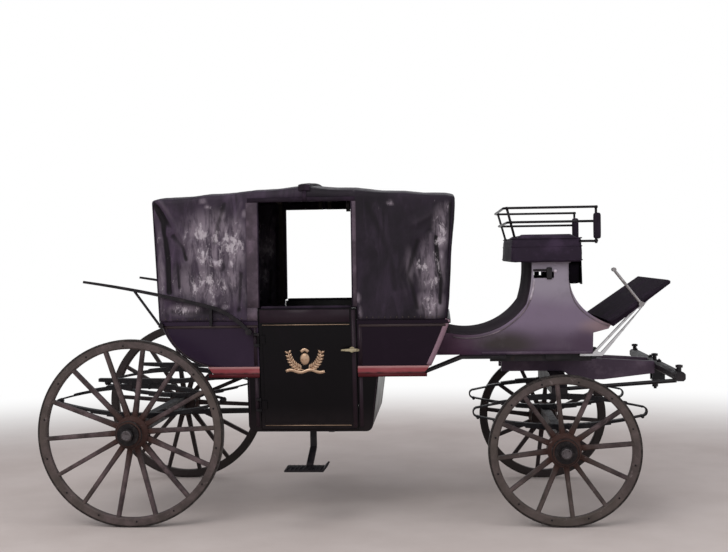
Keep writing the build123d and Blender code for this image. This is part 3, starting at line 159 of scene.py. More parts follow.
# Left halves of the mouldings' sections.
BELT_SECTION = ((-0.0085, -0.001), (-0.0075, 0.0032), (-0.003, 0.0048))
CORNER_SECTION = ((-0.017, -0.002), (-0.013, 0.0026), (0.0, 0.0052))
SILL_SECTION = ((-0.0115, -0.004), (-0.010, 0.0035), (0.0, 0.0055))
# Inputs that every tree of studs has.
STUD_SOCKETS = (
    ("Stud Radius", "Float", 0.005),
    ("Stud Height", "Float", 0.5),
    ("Outward", "Vector", (0.0, 0.0, 1.0)),
)
# Soft lights: name, place, aim, size, power and colour.
LAMPS = (
    ("key", (-2.5, -6.0, 5.2), (0.0, 0.0, 1.1), 5.0, 270.0, (1.0, 0.98, 0.97)),
    ("fill", (5.5, -3.5, 3.0), (0.4, 0.0, 1.0), 4.0, 80.0, (0.98, 0.98, 1.0)),
    ("back", (0.5, 5.5, 4.5), (0.0, 0.0, 1.0), 5.0, 70.0, (1.0, 0.99, 1.0)),
    ("top", (0.0, -0.5, 6.5), (0.0, 0.0, 1.0), 5.0, 60.0, (1.0, 1.0, 1.0)),
)
# Trimming leathers: colour, roughness and shine.
LEATHERS = {
    "head strap leather": ((0.058, 0.043, 0.056), 0.50, 0.12),
    "joint leather": ((0.013, 0.008, 0.014), 0.55, 0.12),
    "black trim leather": ((0.0125, 0.0080, 0.0145), 0.60, 0.12),
    "seat leather": ((0.0225, 0.0145, 0.0265), 0.60, 0.12),
    "fall leather": ((0.0014, 0.0008, 0.0019), 0.60, 0.05),
    "footboard leather": ((0.0135, 0.0086, 0.0150), 0.75, 0.02),
    "boot lining": ((0.125, 0.100, 0.115), 0.50, 0.12),
    # The neck lining is the boot lining painted much lighter: painted highlight.
    "neck lining": ((0.34, 0.30, 0.34), 0.50, 0.12),
    "window strap": ((0.10, 0.095, 0.10), 0.60, 0.12),
}
# Coach paints: colour, haze and roughness.
PAINTS = {
    "rear quarter paint": ((0.027, 0.016, 0.033), (0.070, 0.046, 0.080), 0.30),
    "front quarter paint": ((0.0095, 0.0040, 0.0105), (0.034, 0.018, 0.036), 0.30),
    "frame paint": ((0.022, 0.013, 0.019), (0.052, 0.033, 0.042), 0.32),
    "belt paint": ((0.050, 0.036, 0.038), (0.090, 0.066, 0.070), 0.40),
    "front corner paint": ((0.27, 0.17, 0.215), (0.36, 0.27, 0.31), 0.40),
    "sill edge paint": ((0.085, 0.012, 0.016), (0.15, 0.035, 0.04), 0.40),
}
# Painted iron and gear: colour, rubbed colour, roughness, metal, rust and fineness of the marks.
IRONS = {
    "tyre iron": ((0.022, 0.018, 0.017), (0.085, 0.072, 0.066), 0.50, 0.45, 0.45, 30.0),
    "nave iron": ((0.009, 0.007, 0.008), (0.040, 0.033, 0.033), 0.42, 0.40, 0.20, 40.0),
    "gear iron": ((0.006, 0.005, 0.007), (0.026, 0.021, 0.023), 0.45, 0.20, 0.20, 22.0),
    "gear paint": ((0.008, 0.006, 0.008), (0.034, 0.026, 0.028), 0.50, 0.0, 0.20, 9.0),
    "futchell paint": ((0.072, 0.046, 0.074), (0.135, 0.098, 0.135), 0.55, 0.0, 0.10, 8.0),
    "bow wood": ((0.030, 0.020, 0.014), (0.060, 0.042, 0.030), 0.60, 0.0, 0.0, 12.0),
    "rail iron": ((0.007, 0.005, 0.007), (0.026, 0.019, 0.022), 0.40, 0.30, 0.10, 30.0),
}
# Bare metals: colour, tarnish, roughness and fineness of the marks.
METALS = {
    "cap face": ((0.13, 0.115, 0.12), (0.045, 0.036, 0.036), 0.42, 60.0),
    "stay steel": ((0.62, 0.61, 0.62), (0.24, 0.22, 0.21), 0.34, 18.0),
    "lever steel": ((0.30, 0.28, 0.28), (0.10, 0.085, 0.08), 0.40, 26.0),
    "handle brass": ((0.42, 0.36, 0.24), (0.13, 0.11, 0.075), 0.36, 40.0),
    "nail brass": ((0.085, 0.068, 0.058), (0.025, 0.020, 0.020), 0.45, 60.0),
}
# The finish of each node. Wheels have their own, and all other nodes are gear iron.
NODE_FINISHES = {
    "panel paint": ("foot_well", "left_door", "right_door"),
    "rear quarter paint": ("body_rear_quarter",),
    "front quarter paint": ("body_front_quarter",),
    "sill paint": ("sills",),
    "boot paint": ("boot",),
    "black trim leather": ("arm_pads",),
    "seat leather": ("driver_seat_box", "driver_cushion"),
    "fall leather": ("seat_fall",),
    "footboard leather": ("footboard",),
    "joint leather": ("roof_joint",),
    "bow wood": ("hood_bows",),
    "cabin cloth": ("cushions", "squabs"),
    "handle brass": ("left_door_handle", "right_door_handle"),
    "stay steel": ("footboard_stays",),
    "lever steel": ("brake_lever",),
    "futchell paint": ("futchells",),
    "gear paint": ("fore_bed", "transom", "splinter_bar"),
    "rail iron": ("seat_rails", "head_levers", "head_props"),
    "rear head leather": ("rear_hood",),
    "front head leather": ("front_hood",),
}


def st(station):
    """The place of a station, which runs forward from the rear axle."""
    return REAR_X + station


def half_at(z):
    """Half the body's width at a height below the belt."""
    return BELT_HALF - LEAN * (BELT_Z - z)


# Settings


def length(name, description, default, low, high):
    """A length in metres that the panel shows."""
    limits = {"min": low, "max": high}
    return FloatProperty(name=name, description=description, default=default, unit="LENGTH", **limits)


def paint(name, description, default):
    """A linear colour that the panel shows."""
    return FloatVectorProperty(name=name, description=description, default=default, size=3, subtype="COLOR")


class CarriageSizes(bpy.types.PropertyGroup):
    """Sizes of the pieces that dress the carriage."""

    leather: length("Leather thickness", "Thickness of the head leather with its lining", 0.006, 0.003, 0.012)
    head_grid: length("Head grid", "Mesh spacing of the leather heads", 0.0105, 0.008, 0.03)
    fold_depth: length("Fold depth", "Depth of the deepest folds in the head leather", 0.008, 0.0, 0.012)
    corner_radius: length("Head corner radius", "Radius of the heads' standing corners", 0.040, 0.01, 0.08)
    nail_spacing: length("Nail spacing", "Distance between the nails of the heads", 0.034, 0.02, 0.08)
    nail_radius: length("Nail radius", "Radius of a domed nail head", 0.0038, 0.002, 0.008)
    bead_radius: length("Bead radius", "Radius of the half-round beads on the panels", 0.006, 0.003, 0.012)
    button_rows: IntProperty(name="Button rows", description="In the rear squab", default=4, min=2, max=6)


class CarriageColours(bpy.types.PropertyGroup):
    """Paint, leather and metal colours, linear."""

    leather: paint("Head leather", "Black leather with a purple cast", (0.020, 0.0135, 0.0225))
    scuff: paint("Scuffed leather", "Dry grey leather where the finish has gone", (0.50, 0.45, 0.49))
    panel: paint("Panel black", "Black coach paint", (0.0042, 0.0030, 0.0046))
    sill: paint("Sill red", "Faded red of the sills", (0.26, 0.045, 0.055))
    boot: paint("Boot grey", "Mauve grey of the boot", (0.205, 0.160, 0.222))
    wheel: paint("Wheel paint", "Weathered brown grey of the wheels", (0.092, 0.065, 0.068))
    gilt: paint("Gilding", "Aged gilt of the fine lines and the ornament", (0.56, 0.39, 0.27))


# Finishes


class Finish:
    """One procedural finish, built as a node tree."""

    def __init__(self, name):
        self.material = bpy.data.materials.new(name)
        self.material.use_nodes = True
        self.tree = self.material.node_tree
        self.tree.nodes.clear()
        self.place = self.node("ShaderNodeTexCoord").outputs["Object"]

    def node(self, kind, **settings):
        made = self.tree.nodes.new(kind)
        for key, value in settings.items():
            setattr(made, key, value)
        return made

    def feed(self, socket, value):
        if isinstance(value, bpy.types.NodeSocket):
            self.tree.links.new(value, socket)
        elif hasattr(value, "__len__") and len(value) == 3 and socket.type == "RGBA":
            socket.default_value = (*value, 1.0)
        else:
            socket.default_value = value

    def at(self, centre=(0, 0, 0), turn=(0, 0, 0), scale=(1, 1, 1)):
        """Object coordinates moved to a centre, turned and stretched."""
        moved = self.node("ShaderNodeVectorMath", operation="SUBTRACT")
        self.feed(moved.inputs[0], self.place)
        moved.inputs[1].default_value = centre
        mapping = self.node("ShaderNodeMapping")
        self.feed(mapping.inputs["Vector"], moved.outputs[0])
        mapping.inputs["Rotation"].default_value = turn
        mapping.inputs["Scale"].default_value = scale
        return mapping.outputs[0]

    def noise(self, scale, detail=4.0, rough=0.55, vector=None, distortion=0.0):
        made = self.node("ShaderNodeTexNoise")
        self.feed(made.inputs["Vector"], vector or self.place)
        made.inputs["Scale"].default_value = scale
        made.inputs["Detail"].default_value = detail
        made.inputs["Roughness"].default_value = rough
        made.inputs["Distortion"].default_value = distortion
        return made.outputs["Fac"]

    def cells(self, scale, vector=None):
        made = self.node("ShaderNodeTexVoronoi", feature="DISTANCE_TO_EDGE")
        self.feed(made.inputs["Vector"], vector or self.place)
        made.inputs["Scale"].default_value = scale
        return made.outputs["Distance"]

    def span(self, value, low, high, to_low=0.0, to_high=1.0):
        """A value carried smoothly from one range to another."""
        made = self.node("ShaderNodeMapRange", interpolation_type="SMOOTHSTEP")
        self.feed(made.inputs["Value"], value)
        ends = {"From Min": low, "From Max": high, "To Min": to_low, "To Max": to_high}
        for key, number in ends.items():
            made.inputs[key].default_value = number
        return made.outputs["Result"]

    def times(self, a, b):
        return self.maths("MULTIPLY", a, b)

    def plus(self, a, b):
        return self.maths("ADD", a, b)

    def maths(self, operation, a, b):
        """Sums, products and the larger of two values, kept between 0 and 1, or a plain difference."""
        made = self.node("ShaderNodeMath", operation=operation)
        made.use_clamp = operation in ("MULTIPLY", "ADD", "MAXIMUM")
        self.feed(made.inputs[0], a)
        self.feed(made.inputs[1], b)
        return made.outputs[0]

    def carried(self, name):
        """A value stored on the mesh's points."""
        return self.node("ShaderNodeAttribute", attribute_type="GEOMETRY", attribute_name=name).outputs["Fac"]

    def axis(self, name, vector=None):
        made = self.node("ShaderNodeSeparateXYZ")
        self.feed(made.inputs[0], vector or self.place)
        return made.outputs[name]

    def distance(self, centre, scale):
        made = self.node("ShaderNodeVectorMath", operation="LENGTH")
        self.feed(made.inputs[0], self.at(centre, scale=scale))
        return made.outputs["Value"]

    def spot(self, centre, reach):
        """1 at a centre, falling to 0 at the reach along each axis."""
        scale = tuple(1.0 / value for value in reach)
        return self.span(self.distance(centre, scale), 1.0, 0.25)

    def mix(self, share, a, b):
        made = self.node("ShaderNodeMix", data_type="RGBA")
        self.feed(made.inputs["Factor"], share)
        self.feed(made.inputs[6], a)
        self.feed(made.inputs[7], b)
        return made.outputs[2]

    def close(self, colour, rough, height, depth, metal=0.0, coat=0.0, sheen=0.0, shine=0.35):
        """Ends the finish with its shader and a bump of this depth."""
        shader = self.node("ShaderNodeBsdfPrincipled")
        self.feed(shader.inputs["Base Color"], colour)
        self.feed(shader.inputs["Roughness"], rough)
        self.feed(shader.inputs["Metallic"], metal)
        shader.inputs["Coat Weight"].default_value = coat
        shader.inputs["Coat Roughness"].default_value = 0.2
        shader.inputs["Specular IOR Level"].default_value = shine
        shader.inputs["Sheen Weight"].default_value = sheen
        bump = self.node("ShaderNodeBump")
        bump.inputs["Strength"].default_value = 1.0
        bump.inputs["Distance"].default_value = depth
        self.feed(bump.inputs["Height"], height)
        self.feed(shader.inputs["Normal"], bump.outputs[0])
        out = self.node("ShaderNodeOutputMaterial")
        self.feed(out.inputs["Surface"], shader.outputs[0])
        return self.material


def shade(colour, factor):
    return tuple(min(1.0, value * factor) for value in colour)


def boot_paint(name, colours):
    """The boot's faded paint: mauve above, olive below, red-brown towards the cabin and the toe, and painted
    shade on its faces that look up.
    """
    f = Finish(name)
    height_z = f.axis("Z")
    along = f.axis("X")
    wave = f.times(f.noise(3.0, 4.0), 0.10)
    waved = f.maths("SUBTRACT", height_z, wave)
    colour = f.mix(f.span(waved, 1.36, 1.18), (0.300, 0.265, 0.318), colours.boot)
    colour = f.mix(f.span(waved, 1.13, 0.99), colour, (0.100, 0.072, 0.104))
    olive = f.spot((st(2.24), 0.0, 1.04), (0.27, 9.0, 0.13))
    colour = f.mix(f.times(olive, 0.85), colour, (0.050, 0.043, 0.038))
    colour = f.mix(f.span(waved, 0.985, 0.93), colour, (0.058, 0.036, 0.060))
    back = f.span(along, st(2.16), st(1.92))
    colour = f.mix(f.times(back, 0.6), colour, (0.068, 0.022, 0.044))
    toe = f.spot((st(2.84), 0.0, 1.15), (0.20, 9.0, 0.08))
    colour = f.mix(f.times(toe, 0.8), colour, (0.290, 0.205, 0.215))
    patch = f.spot((st(2.74), 0.0, 1.06), (0.16, 9.0, 0.11))
    colour = f.mix(f.times(patch, 0.6), colour, (0.072, 0.045, 0.072))
    cloud = f.noise(5.0, 6.0, 0.65, distortion=0.4)
    colour = f.mix(f.span(cloud, 0.48, 0.82, 0.0, 0.4), colour, (0.155, 0.13, 0.155))
    chip = f.span(f.noise(34.0, 6.0, 0.75), 0.66, 0.72)
    colour = f.mix(f.times(chip, 0.45), colour, (0.03, 0.022, 0.026))
    # Painted shade: faces that look up rather than to the sides are painted darker.
    turned = f.node("ShaderNodeNewGeometry").outputs["Normal"]
    facing = f.node("ShaderNodeMath", operation="ABSOLUTE")
    f.feed(facing.inputs[0], f.axis("Y", turned))
    top = f.span(facing.outputs[0], 0.75, 0.45)
    colour = f.mix(f.times(top, 0.94), colour, (0.022, 0.012, 0.020))
    height = f.plus(f.times(cloud, 0.7), f.times(chip, 0.15))
    rough = f.plus(f.span(cloud, 0.3, 0.8, 0.38, 0.58), f.times(top, 0.40))
    return f.close(colour, rough, height, 0.0014, shine=0.05)


def sill_paint(name, colours):
    """Faded red paint with a painted highlight along its upper edge, and darker towards its lower edge."""
    f = Finish(name)
    height_z = f.axis("Z")
    cloud = f.noise(7.0, 5.0, 0.65, vector=f.at(scale=(0.5, 1, 2.0)))
    colour = f.mix(f.span(cloud, 0.4, 0.75), colours.sill, (0.38, 0.13, 0.14))
    # Painted highlight: the sill's upper edge is painted pale.
    colour = f.mix(f.span(height_z, 0.917, 0.930, 0.0, 0.7), colour, (0.46, 0.27, 0.27))
    # Darker towards the lower edge, in noisy patches.
    darker_below = f.times(f.span(height_z, 0.904, 0.893), f.span(f.noise(20.0), 0.3, 0.6, 0.5, 1.0))
    colour = f.mix(darker_below, colour, (0.03, 0.009, 0.012))
    chip = f.span(f.noise(48.0, 6.0, 0.75), 0.64, 0.7)
    colour = f.mix(f.times(chip, 0.6), colour, (0.07, 0.03, 0.03))
    return f.close(colour, f.span(cloud, 0.3, 0.8, 0.38, 0.6), f.plus(cloud, chip), 0.0008)


def wheel_paint(name, colours, centre, radius, side):
    """Weathered wheel paint: brown-grey rim, paler spokes, red-brown nave, dirt in the joints, and painted
    shade on the faces turned towards the carriage.
    """
    f = Finish(name)
    reach = f.distance(centre, scale=(1, 0, 1))
    cloud = f.noise(9.0, 6.0, 0.68, distortion=0.4)
    colour = f.mix(f.span(cloud, 0.35, 0.72), shade(colours.wheel, 0.40), shade(colours.wheel, 1.45))
    olive = f.span(f.noise(2.3, 3.0), 0.42, 0.62, 0.0, 0.5)
    colour = f.mix(olive, colour, (0.066, 0.054, 0.042))
    foot = f.times(f.span(reach, 0.24, 0.15), f.span(f.noise(14.0), 0.35, 0.65, 0.4, 1.0))
    colour = f.mix(foot, colour, (0.050, 0.030, 0.026))
    nave = f.span(reach, 0.150, 0.112)
    colour = f.mix(f.times(nave, 0.85), colour, (0.052, 0.024, 0.019))
    rim = f.span(reach, radius - 0.075, radius - 0.05)
    colour = f.mix(f.times(rim, 0.3), colour, (0.115, 0.097, 0.085))
    grit = f.span(f.noise(60.0, 6.0, 0.75), 0.55, 0.75)
    colour = f.mix(f.times(grit, 0.55), colour, (0.026, 0.018, 0.016))
    rubbed = f.span(f.noise(24.0, 5.0, 0.7, distortion=1.0), 0.6, 0.74)
    colour = f.mix(f.times(rubbed, 0.6), colour, (0.26, 0.215, 0.215))
    # Painted shade: faces turned towards the carriage are painted darker.
    turned = f.axis("Y", f.node("ShaderNodeNewGeometry").outputs["Normal"])
    inside = f.span(turned, -0.15 * side, -0.75 * side, 0.0, 0.72)
    colour = f.mix(inside, colour, (0.010, 0.007, 0.008))
    height = f.plus(f.times(cloud, 0.5), f.times(grit, 0.3))
    return f.close(colour, f.span(cloud, 0.3, 0.8, 0.5, 0.75), height, 0.0012, shine=0.2)


def head_leather(name, colours, pale):
    """Black head leather: cracked grain, painted shade in the folds and painted highlight on their ridges,
    dry haze and chalky flecks.
    """
    f = Finish(name)
    dark, light, dry = (shade(colours.leather, share * pale) for share in (0.55, 1.5, 2.6))
    # Haze colour, the painted highlight colour of the fold ridges, and the painted shade colour in the folds.
    haze, ridge, painted_fold_shade = (0.265, 0.220, 0.262), (0.135, 0.108, 0.135), (0.0032, 0.0018, 0.0032)
    cloud = f.noise(3.2, 6.0, 0.62, distortion=0.6)
    upright = f.at(scale=(1.6, 1.0, 0.35))
    streak = f.noise(7.0, 5.0, 0.6, vector=upright, distortion=0.8)
    worn, fold_shade_and_highlight = f.carried("worn"), f.carried("fold_shade_and_highlight")
    colour = f.mix(f.span(cloud, 0.35, 0.72), dark, light)
    colour = f.mix(f.span(streak, 0.50, 0.76, 0.0, 0.6), colour, dry)
    patchy = f.span(f.noise(13.0, 7.0, 0.70, vector=upright, distortion=0.5), 0.38, 0.60, 0.12, 1.0)
    colour = f.mix(f.times(worn, patchy), colour, haze)
    # Painted highlight on the ridges beside the folds, then painted shade down in the folds.
    colour = f.mix(f.span(fold_shade_and_highlight, 0.15, 0.9, 0.0, 0.5), colour, ridge)
    colour = f.mix(f.span(fold_shade_and_highlight, -0.08, -0.60, 0.0, 0.96), colour, painted_fold_shade)
    fleck = f.noise(19.0, 8.0, 0.76, vector=f.at(scale=(1.15, 1.0, 0.6)), distortion=0.35)
    rubbed = f.span(f.plus(fleck, f.times(worn, 0.19)), 0.645, 0.775, 0.0, 0.85)
    colour = f.mix(rubbed, colour, colours.scuff)
    crack = f.span(f.cells(38.0, vector=f.at(scale=(1.0, 1.0, 0.6))), 0.0, 0.035)
    height = f.plus(f.times(f.cells(420.0), 0.55), f.times(crack, 0.25))
    height = f.plus(height, f.times(f.noise(90.0, 3.0, 0.6), 0.3))
    rough = f.plus(f.span(cloud, 0.3, 0.75, 0.46, 0.66), f.times(rubbed, 0.2))
    return f.close(colour, rough, height, 0.0009, shine=0.16)


def trim_leather(name, base, rough, shine):
    """Plain black trimming leather with a fine grain and rubbed lights."""
    f = Finish(name)
    cloud = f.noise(9.0, 5.0, 0.6)
    colour = f.mix(f.span(cloud, 0.42, 0.72), base, shade(base, 2.2))
    rub = f.span(f.noise(38.0, 5.0, 0.7), 0.60, 0.76, 0.0, 0.5)
    colour = f.mix(rub, colour, shade(base, 4.5))
    height = f.plus(f.times(f.cells(380.0), 0.6), f.times(f.noise(70.0), 0.4))
    return f.close(colour, f.span(cloud, 0.3, 0.75, rough, rough + 0.2), height, 0.0007, shine=shine)


def coach_paint(name, base, haze, gloss):
    """Varnished coach paint with hazed areas, fine scratches and dust near the foot."""
    f = Finish(name)
    cloud = f.noise(2.6, 5.0, 0.6, distortion=0.5)
    colour = f.mix(f.span(cloud, 0.48, 0.8, 0.0, 0.55), base, haze)
    along = f.at(turn=(0, 0.35, 0), scale=(0.18, 1.0, 2.4))
    scratch = f.span(f.noise(60.0, 3.0, 0.8, vector=along), 0.64, 0.76)
    colour = f.mix(f.times(scratch, 0.22), colour, shade(haze, 2.4))
    low = f.span(f.axis("Z"), DUST_Z + 0.16, DUST_Z, 0.0, 0.16)
    dust = f.times(low, f.noise(22.0, 5.0, 0.7))
    colour = f.mix(dust, colour, (0.10, 0.075, 0.075))
    rough = f.plus(f.span(cloud, 0.35, 0.8, gloss, gloss + 0.24), f.times(dust, 0.5))
    height = f.plus(f.times(f.noise(6.0, 2.0), 0.7), f.times(scratch, 0.06))
    return f.close(colour, rough, height, 0.0012, coat=0.01, shine=0.12)


def iron(name, base, light, rough, metal, rust, scale):
    """Black-painted iron: rubbed lights, dust and a little rust."""
    f = Finish(name)
    cloud = f.noise(scale, 6.0, 0.68)
    colour = f.mix(f.span(cloud, 0.45, 0.75), base, light)
    if rust:
        spots = f.span(f.noise(scale * 2.2, 6.0, 0.72, distortion=0.6), 0.58, 0.70)
        colour = f.mix(f.times(spots, rust), colour, (0.085, 0.036, 0.020))
    rough_map = f.span(cloud, 0.3, 0.8, rough - 0.1, rough + 0.2)
    height = f.plus(f.times(cloud, 0.6), f.times(f.noise(160.0), 0.25))
    return f.close(colour, rough_map, height, 0.0009, metal=metal, shine=0.3)


def bright_metal(name, base, dark, rough, scale):
    """Worn bare metal with tarnish in patches."""
    f = Finish(name)
    cloud = f.noise(scale, 6.0, 0.7)
    colour = f.mix(f.span(cloud, 0.5, 0.72), base, dark)
    brush = f.noise(220.0, 2.0, 0.5, vector=f.at(scale=(0.15, 1, 1)))
    return f.close(colour, f.span(cloud, 0.35, 0.75, rough, rough + 0.3), brush, 0.0004, metal=0.9)


def cabin_cloth(name, base, light):
    """Dark woven trimming cloth with a nap."""
    f = Finish(name)
    threads = []
    for direction in ("Y", "Z"):
        thread = f.node("ShaderNodeTexWave", wave_type="BANDS", bands_direction=direction)
        f.feed(thread.inputs["Vector"], f.place)
        thread.inputs["Scale"].default_value = 260.0
        threads.append(thread.outputs["Fac"])
    weave = f.times(*threads)
    cloud = f.noise(6.0, 5.0, 0.6)
    colour = f.mix(f.span(cloud, 0.4, 0.75), base, light)
    colour = f.mix(f.times(weave, 0.3), colour, shade(light, 1.4))
    return f.close(colour, 0.85, weave, 0.0006, sheen=0.25)


def build_finishes(colours):
    """Every finish of the carriage, each under its plain name."""
    head_leather("rear head leather", colours, 1.8)
    head_leather("front head leather", colours, 0.9)
    coach_paint("panel paint", shade(colours.panel, 0.6), (0.0068, 0.0036, 0.0068), 0.28)
    boot_paint("boot paint", colours)
    sill_paint("sill paint", colours)
    cabin_cloth("cabin cloth", (0.010, 0.009, 0.012), (0.026, 0.023, 0.030))
    bright_metal("gilt line", shade(colours.gilt, 0.8), (0.30, 0.22, 0.17), 0.4, 24.0)
    bright_metal("gilt ornament", tuple(colours.gilt), (0.34, 0.17, 0.09), 0.36, 42.0)
    tables = ((trim_leather, LEATHERS), (coach_paint, PAINTS), (iron, IRONS), (bright_metal, METALS))
    for make, table in tables:
        for name, values in table.items():
            make(name, *values)
    for wheel, (x, side, y, radius, _) in WHEELS.items():
        wheel_paint(wheel_finish(wheel), colours, (x, side * y, radius), radius, side)


def wheel_finish(wheel):
    return f"{wheel.replace('_', ' ')} wheel paint"


def finish(name):
    return bpy.data.materials[name]


# Mesh helpers


def show(name, mesh):
    """An object at the origin that shows a mesh."""
    made = bpy.data.objects.new(name, mesh)
    bpy.context.scene.collection.objects.link(made)
    return made


def cover(mesh, material):
    """One finish over a whole mesh."""
    mesh.materials.clear()
    mesh.materials.append(finish(material))
    for polygon in mesh.polygons:
        polygon.material_index = 0


def outward(mesh, merge=0.0):
    """Joins the points of a closed mesh that fall together, and turns its faces outward."""
    bm = bmesh.new()
    bm.from_mesh(mesh)
    if merge:
        bmesh.ops.remove_doubles(bm, verts=bm.verts, dist=merge)
    bmesh.ops.recalc_face_normals(bm, faces=bm.faces)
    bm.to_mesh(mesh)
    bm.free()


def solid(name, points, faces, material, smooth=True):
    """A mesh object at the origin with its place in its points."""
    mesh = bpy.data.meshes.new(name)
    mesh.from_pydata([tuple(p) for p in points], [], faces)
    mesh.validate()
    mesh.materials.append(finish(material))
    if smooth:
        mesh.shade_smooth()
    return show(name, mesh)


def gather(name, pieces, material, smooth=True):
    """Several pieces made one mesh object."""
    bm = bmesh.new()
    for piece in pieces:
        bm.from_mesh(piece.data)
        bpy.data.objects.remove(piece)
    mesh = bpy.data.meshes.new(name)
    bm.to_mesh(mesh)
    bm.free()
    cover(mesh, material)
    if smooth:
        mesh.shade_smooth()
    return show(name, mesh)


def settle(piece):
    """The piece with its modifiers applied and its object at the origin."""
    graph = bpy.context.evaluated_depsgraph_get()
    mesh = bpy.data.meshes.new_from_object(piece.evaluated_get(graph))
    piece.modifiers.clear()
    piece.data = mesh
    return piece


def section_ring(count, wide, deep, flat_back=False):
    """An oval section, or a half-round one that is nearly flat behind."""
    ring = []
    for index in range(count):
        turn = 2 * math.pi * index / count
        a, b = math.cos(turn), math.sin(turn)
        ring.append((wide * a, max(b, -0.25) * deep if flat_back else deep * b))
    return ring


def strip_section(half, rise, bevel, back):
    """A flat strip with bevelled edges, sunk by its back into the face that it lies on."""
    top = half - bevel
    return [(-half, 0.0), (-top, rise), (top, rise), (half, 0.0), (half, -back), (-half, -back)]


def resized(section, across, out=1.0):
    return [(a * across, b * out) for a, b in section]


def run_along(name, path, out, ring, material, closed=False):
    """A section carried along a path, with its second axis towards out."""
    path, out = [Vector(p) for p in path], Vector(out).normalized()
    points, faces, size, count = [], [], len(ring), len(path)
    for index, place in enumerate(path):
        before = path[index - 1] if index or closed else path[0]
        after = path[(index + 1) % count] if index < count - 1 or closed else path[-1]
        ahead = (after - before).normalized()
        up = (out - ahead * out.dot(ahead)).normalized()
        side = ahead.cross(up)
        stretch = 1.0
        if 0 < index < count - 1:
            first, second = (place - before).normalized(), (after - place).normalized()
            stretch = 1.0 / max(0.5, math.sqrt(max(0.0, (1 + first.dot(second)) / 2)))
        for a, b in ring:
            points.append(place + side * a * stretch + up * b)
    turns = count if closed else count - 1
    for index in range(turns):
        here, there = index * size, ((index + 1) % count) * size
        for k in range(size):
            n = (k + 1) % size
            faces.append((here + k, there + k, there + n, here + n))
    if not closed:
        faces.append(tuple(range(size)))
        faces.append(tuple(reversed(range((count - 1) * size, count * size))))
    made = solid(name, points, faces, material)
    outward(made.data)
    return made


def straight(start, end, count):
    """Points spread evenly on a line, both ends included."""
    start, end = Vector(start), Vector(end)
    return [start.lerp(end, k / count) for k in range(count + 1)]


def lathe(name, outline, material, count):
    """A closed outline of (radius, height) pairs turned about local Z."""
    points, faces = [], []
    size = len(outline)
    for turn in range(count):
        angle = 2 * math.pi * turn / count
        for radius, height in outline:
            points.append((radius * math.cos(angle), radius * math.sin(angle), height))
    for turn in range(count):
        here, there = turn * size, ((turn + 1) % count) * size
        for k in range(size):
            n = (k + 1) % size
            faces.append((here + k, there + k, there + n, here + n))
    made = solid(name, points, faces, material, smooth=False)
    outward(made.data, merge=1e-6)
    return made


def side_turn(side):
    """Turns local Z to point out of the carriage on this side."""
    return Matrix(((1, 0, 0, 0), (0, 0, side, 0), (0, -side, 0, 0), (0, 0, 0, 1)))


def to_wheel(piece, wheel):
    """Moves a piece made about local Z to a wheel's axle, its front outward."""
    x, side, y, radius, _ = WHEELS[wheel]
    piece.data.transform(Matrix.Translation((x, side * y, radius)) @ side_turn(side))
    return piece


def on(piece, body):
    """Lets a piece ride on a body."""
    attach(piece, body)
    return piece


def new_tree(name, sockets):
    """A geometry node tree with one geometry in, one out, and named inputs with their kinds and values."""
    tree = bpy.data.node_groups.new(name, "GeometryNodeTree")
    for way in ("INPUT", "OUTPUT"):
        tree.interface.new_socket(name="Geometry", in_out=way, socket_type="NodeSocketGeometry")
    for label, kind, value in sockets + (("Finish", "Material", None),):
        made = tree.interface.new_socket(name=label, in_out="INPUT", socket_type=f"NodeSocket{kind}")
        if value is not None:
            made.default_value = value
    return tree


def put_out(tree, entry, placed):
    """Makes the instances real, gives them their finish and puts them out."""
    n, link = tree.nodes, tree.links.new
    real, coat = n.new("GeometryNodeRealizeInstances"), n.new("GeometryNodeSetMaterial")
    leave = n.new("NodeGroupOutput")
    link(placed.outputs[0], real.inputs[0])
    link(real.outputs[0], coat.inputs["Geometry"])
    link(entry.outputs["Finish"], coat.inputs["Material"])
    link(coat.outputs[0], leave.inputs[0])


def stud_nodes(tree, points_source):
    """Domed studs on a curve's points, all with one outward direction."""
    n, link = tree.nodes, tree.links.new
    entry = n.new("NodeGroupInput")
    dome = n.new("GeometryNodeMeshUVSphere")
    dome.inputs["Segments"].default_value = 10
    dome.inputs["Rings"].default_value = 6
    link(entry.outputs["Stud Radius"], dome.inputs["Radius"])
    flatten = n.new("GeometryNodeTransform")
    scale = n.new("ShaderNodeCombineXYZ")
    scale.inputs["X"].default_value = 1.0
    scale.inputs["Y"].default_value = 1.0
    link(entry.outputs["Stud Height"], scale.inputs["Z"])
    link(scale.outputs[0], flatten.inputs["Scale"])
    link(dome.outputs["Mesh"], flatten.inputs["Geometry"])
    place = n.new("GeometryNodeInstanceOnPoints")
    link(points_source, place.inputs["Points"])
    link(flatten.outputs[0], place.inputs["Instance"])
    turn = n.new("FunctionNodeAlignRotationToVector")
    turn.axis = "Z"
    link(entry.outputs["Outward"], turn.inputs["Vector"])
    link(turn.outputs["Rotation"], place.inputs["Rotation"])
    put_out(tree, entry, place)
    return entry


def stud_row_tree():
    """Studs evenly spaced along a carried line."""
    tree = new_tree("Row of studs", (("Spacing", "Float", 0.03), *STUD_SOCKETS))
    n, link = tree.nodes, tree.links.new
    curve = n.new("GeometryNodeMeshToCurve")
    spaced = n.new("GeometryNodeResampleCurve")
    spaced.mode = "LENGTH"
    points = n.new("GeometryNodeCurveToPoints")
    points.mode = "EVALUATED"
    link(spaced.outputs[0], points.inputs[0])
    entry = stud_nodes(tree, points.outputs[0])
    link(entry.outputs["Geometry"], curve.inputs[0])
    link(curve.outputs[0], spaced.inputs["Curve"])
    link(entry.outputs["Spacing"], spaced.inputs["Length"])
    return tree


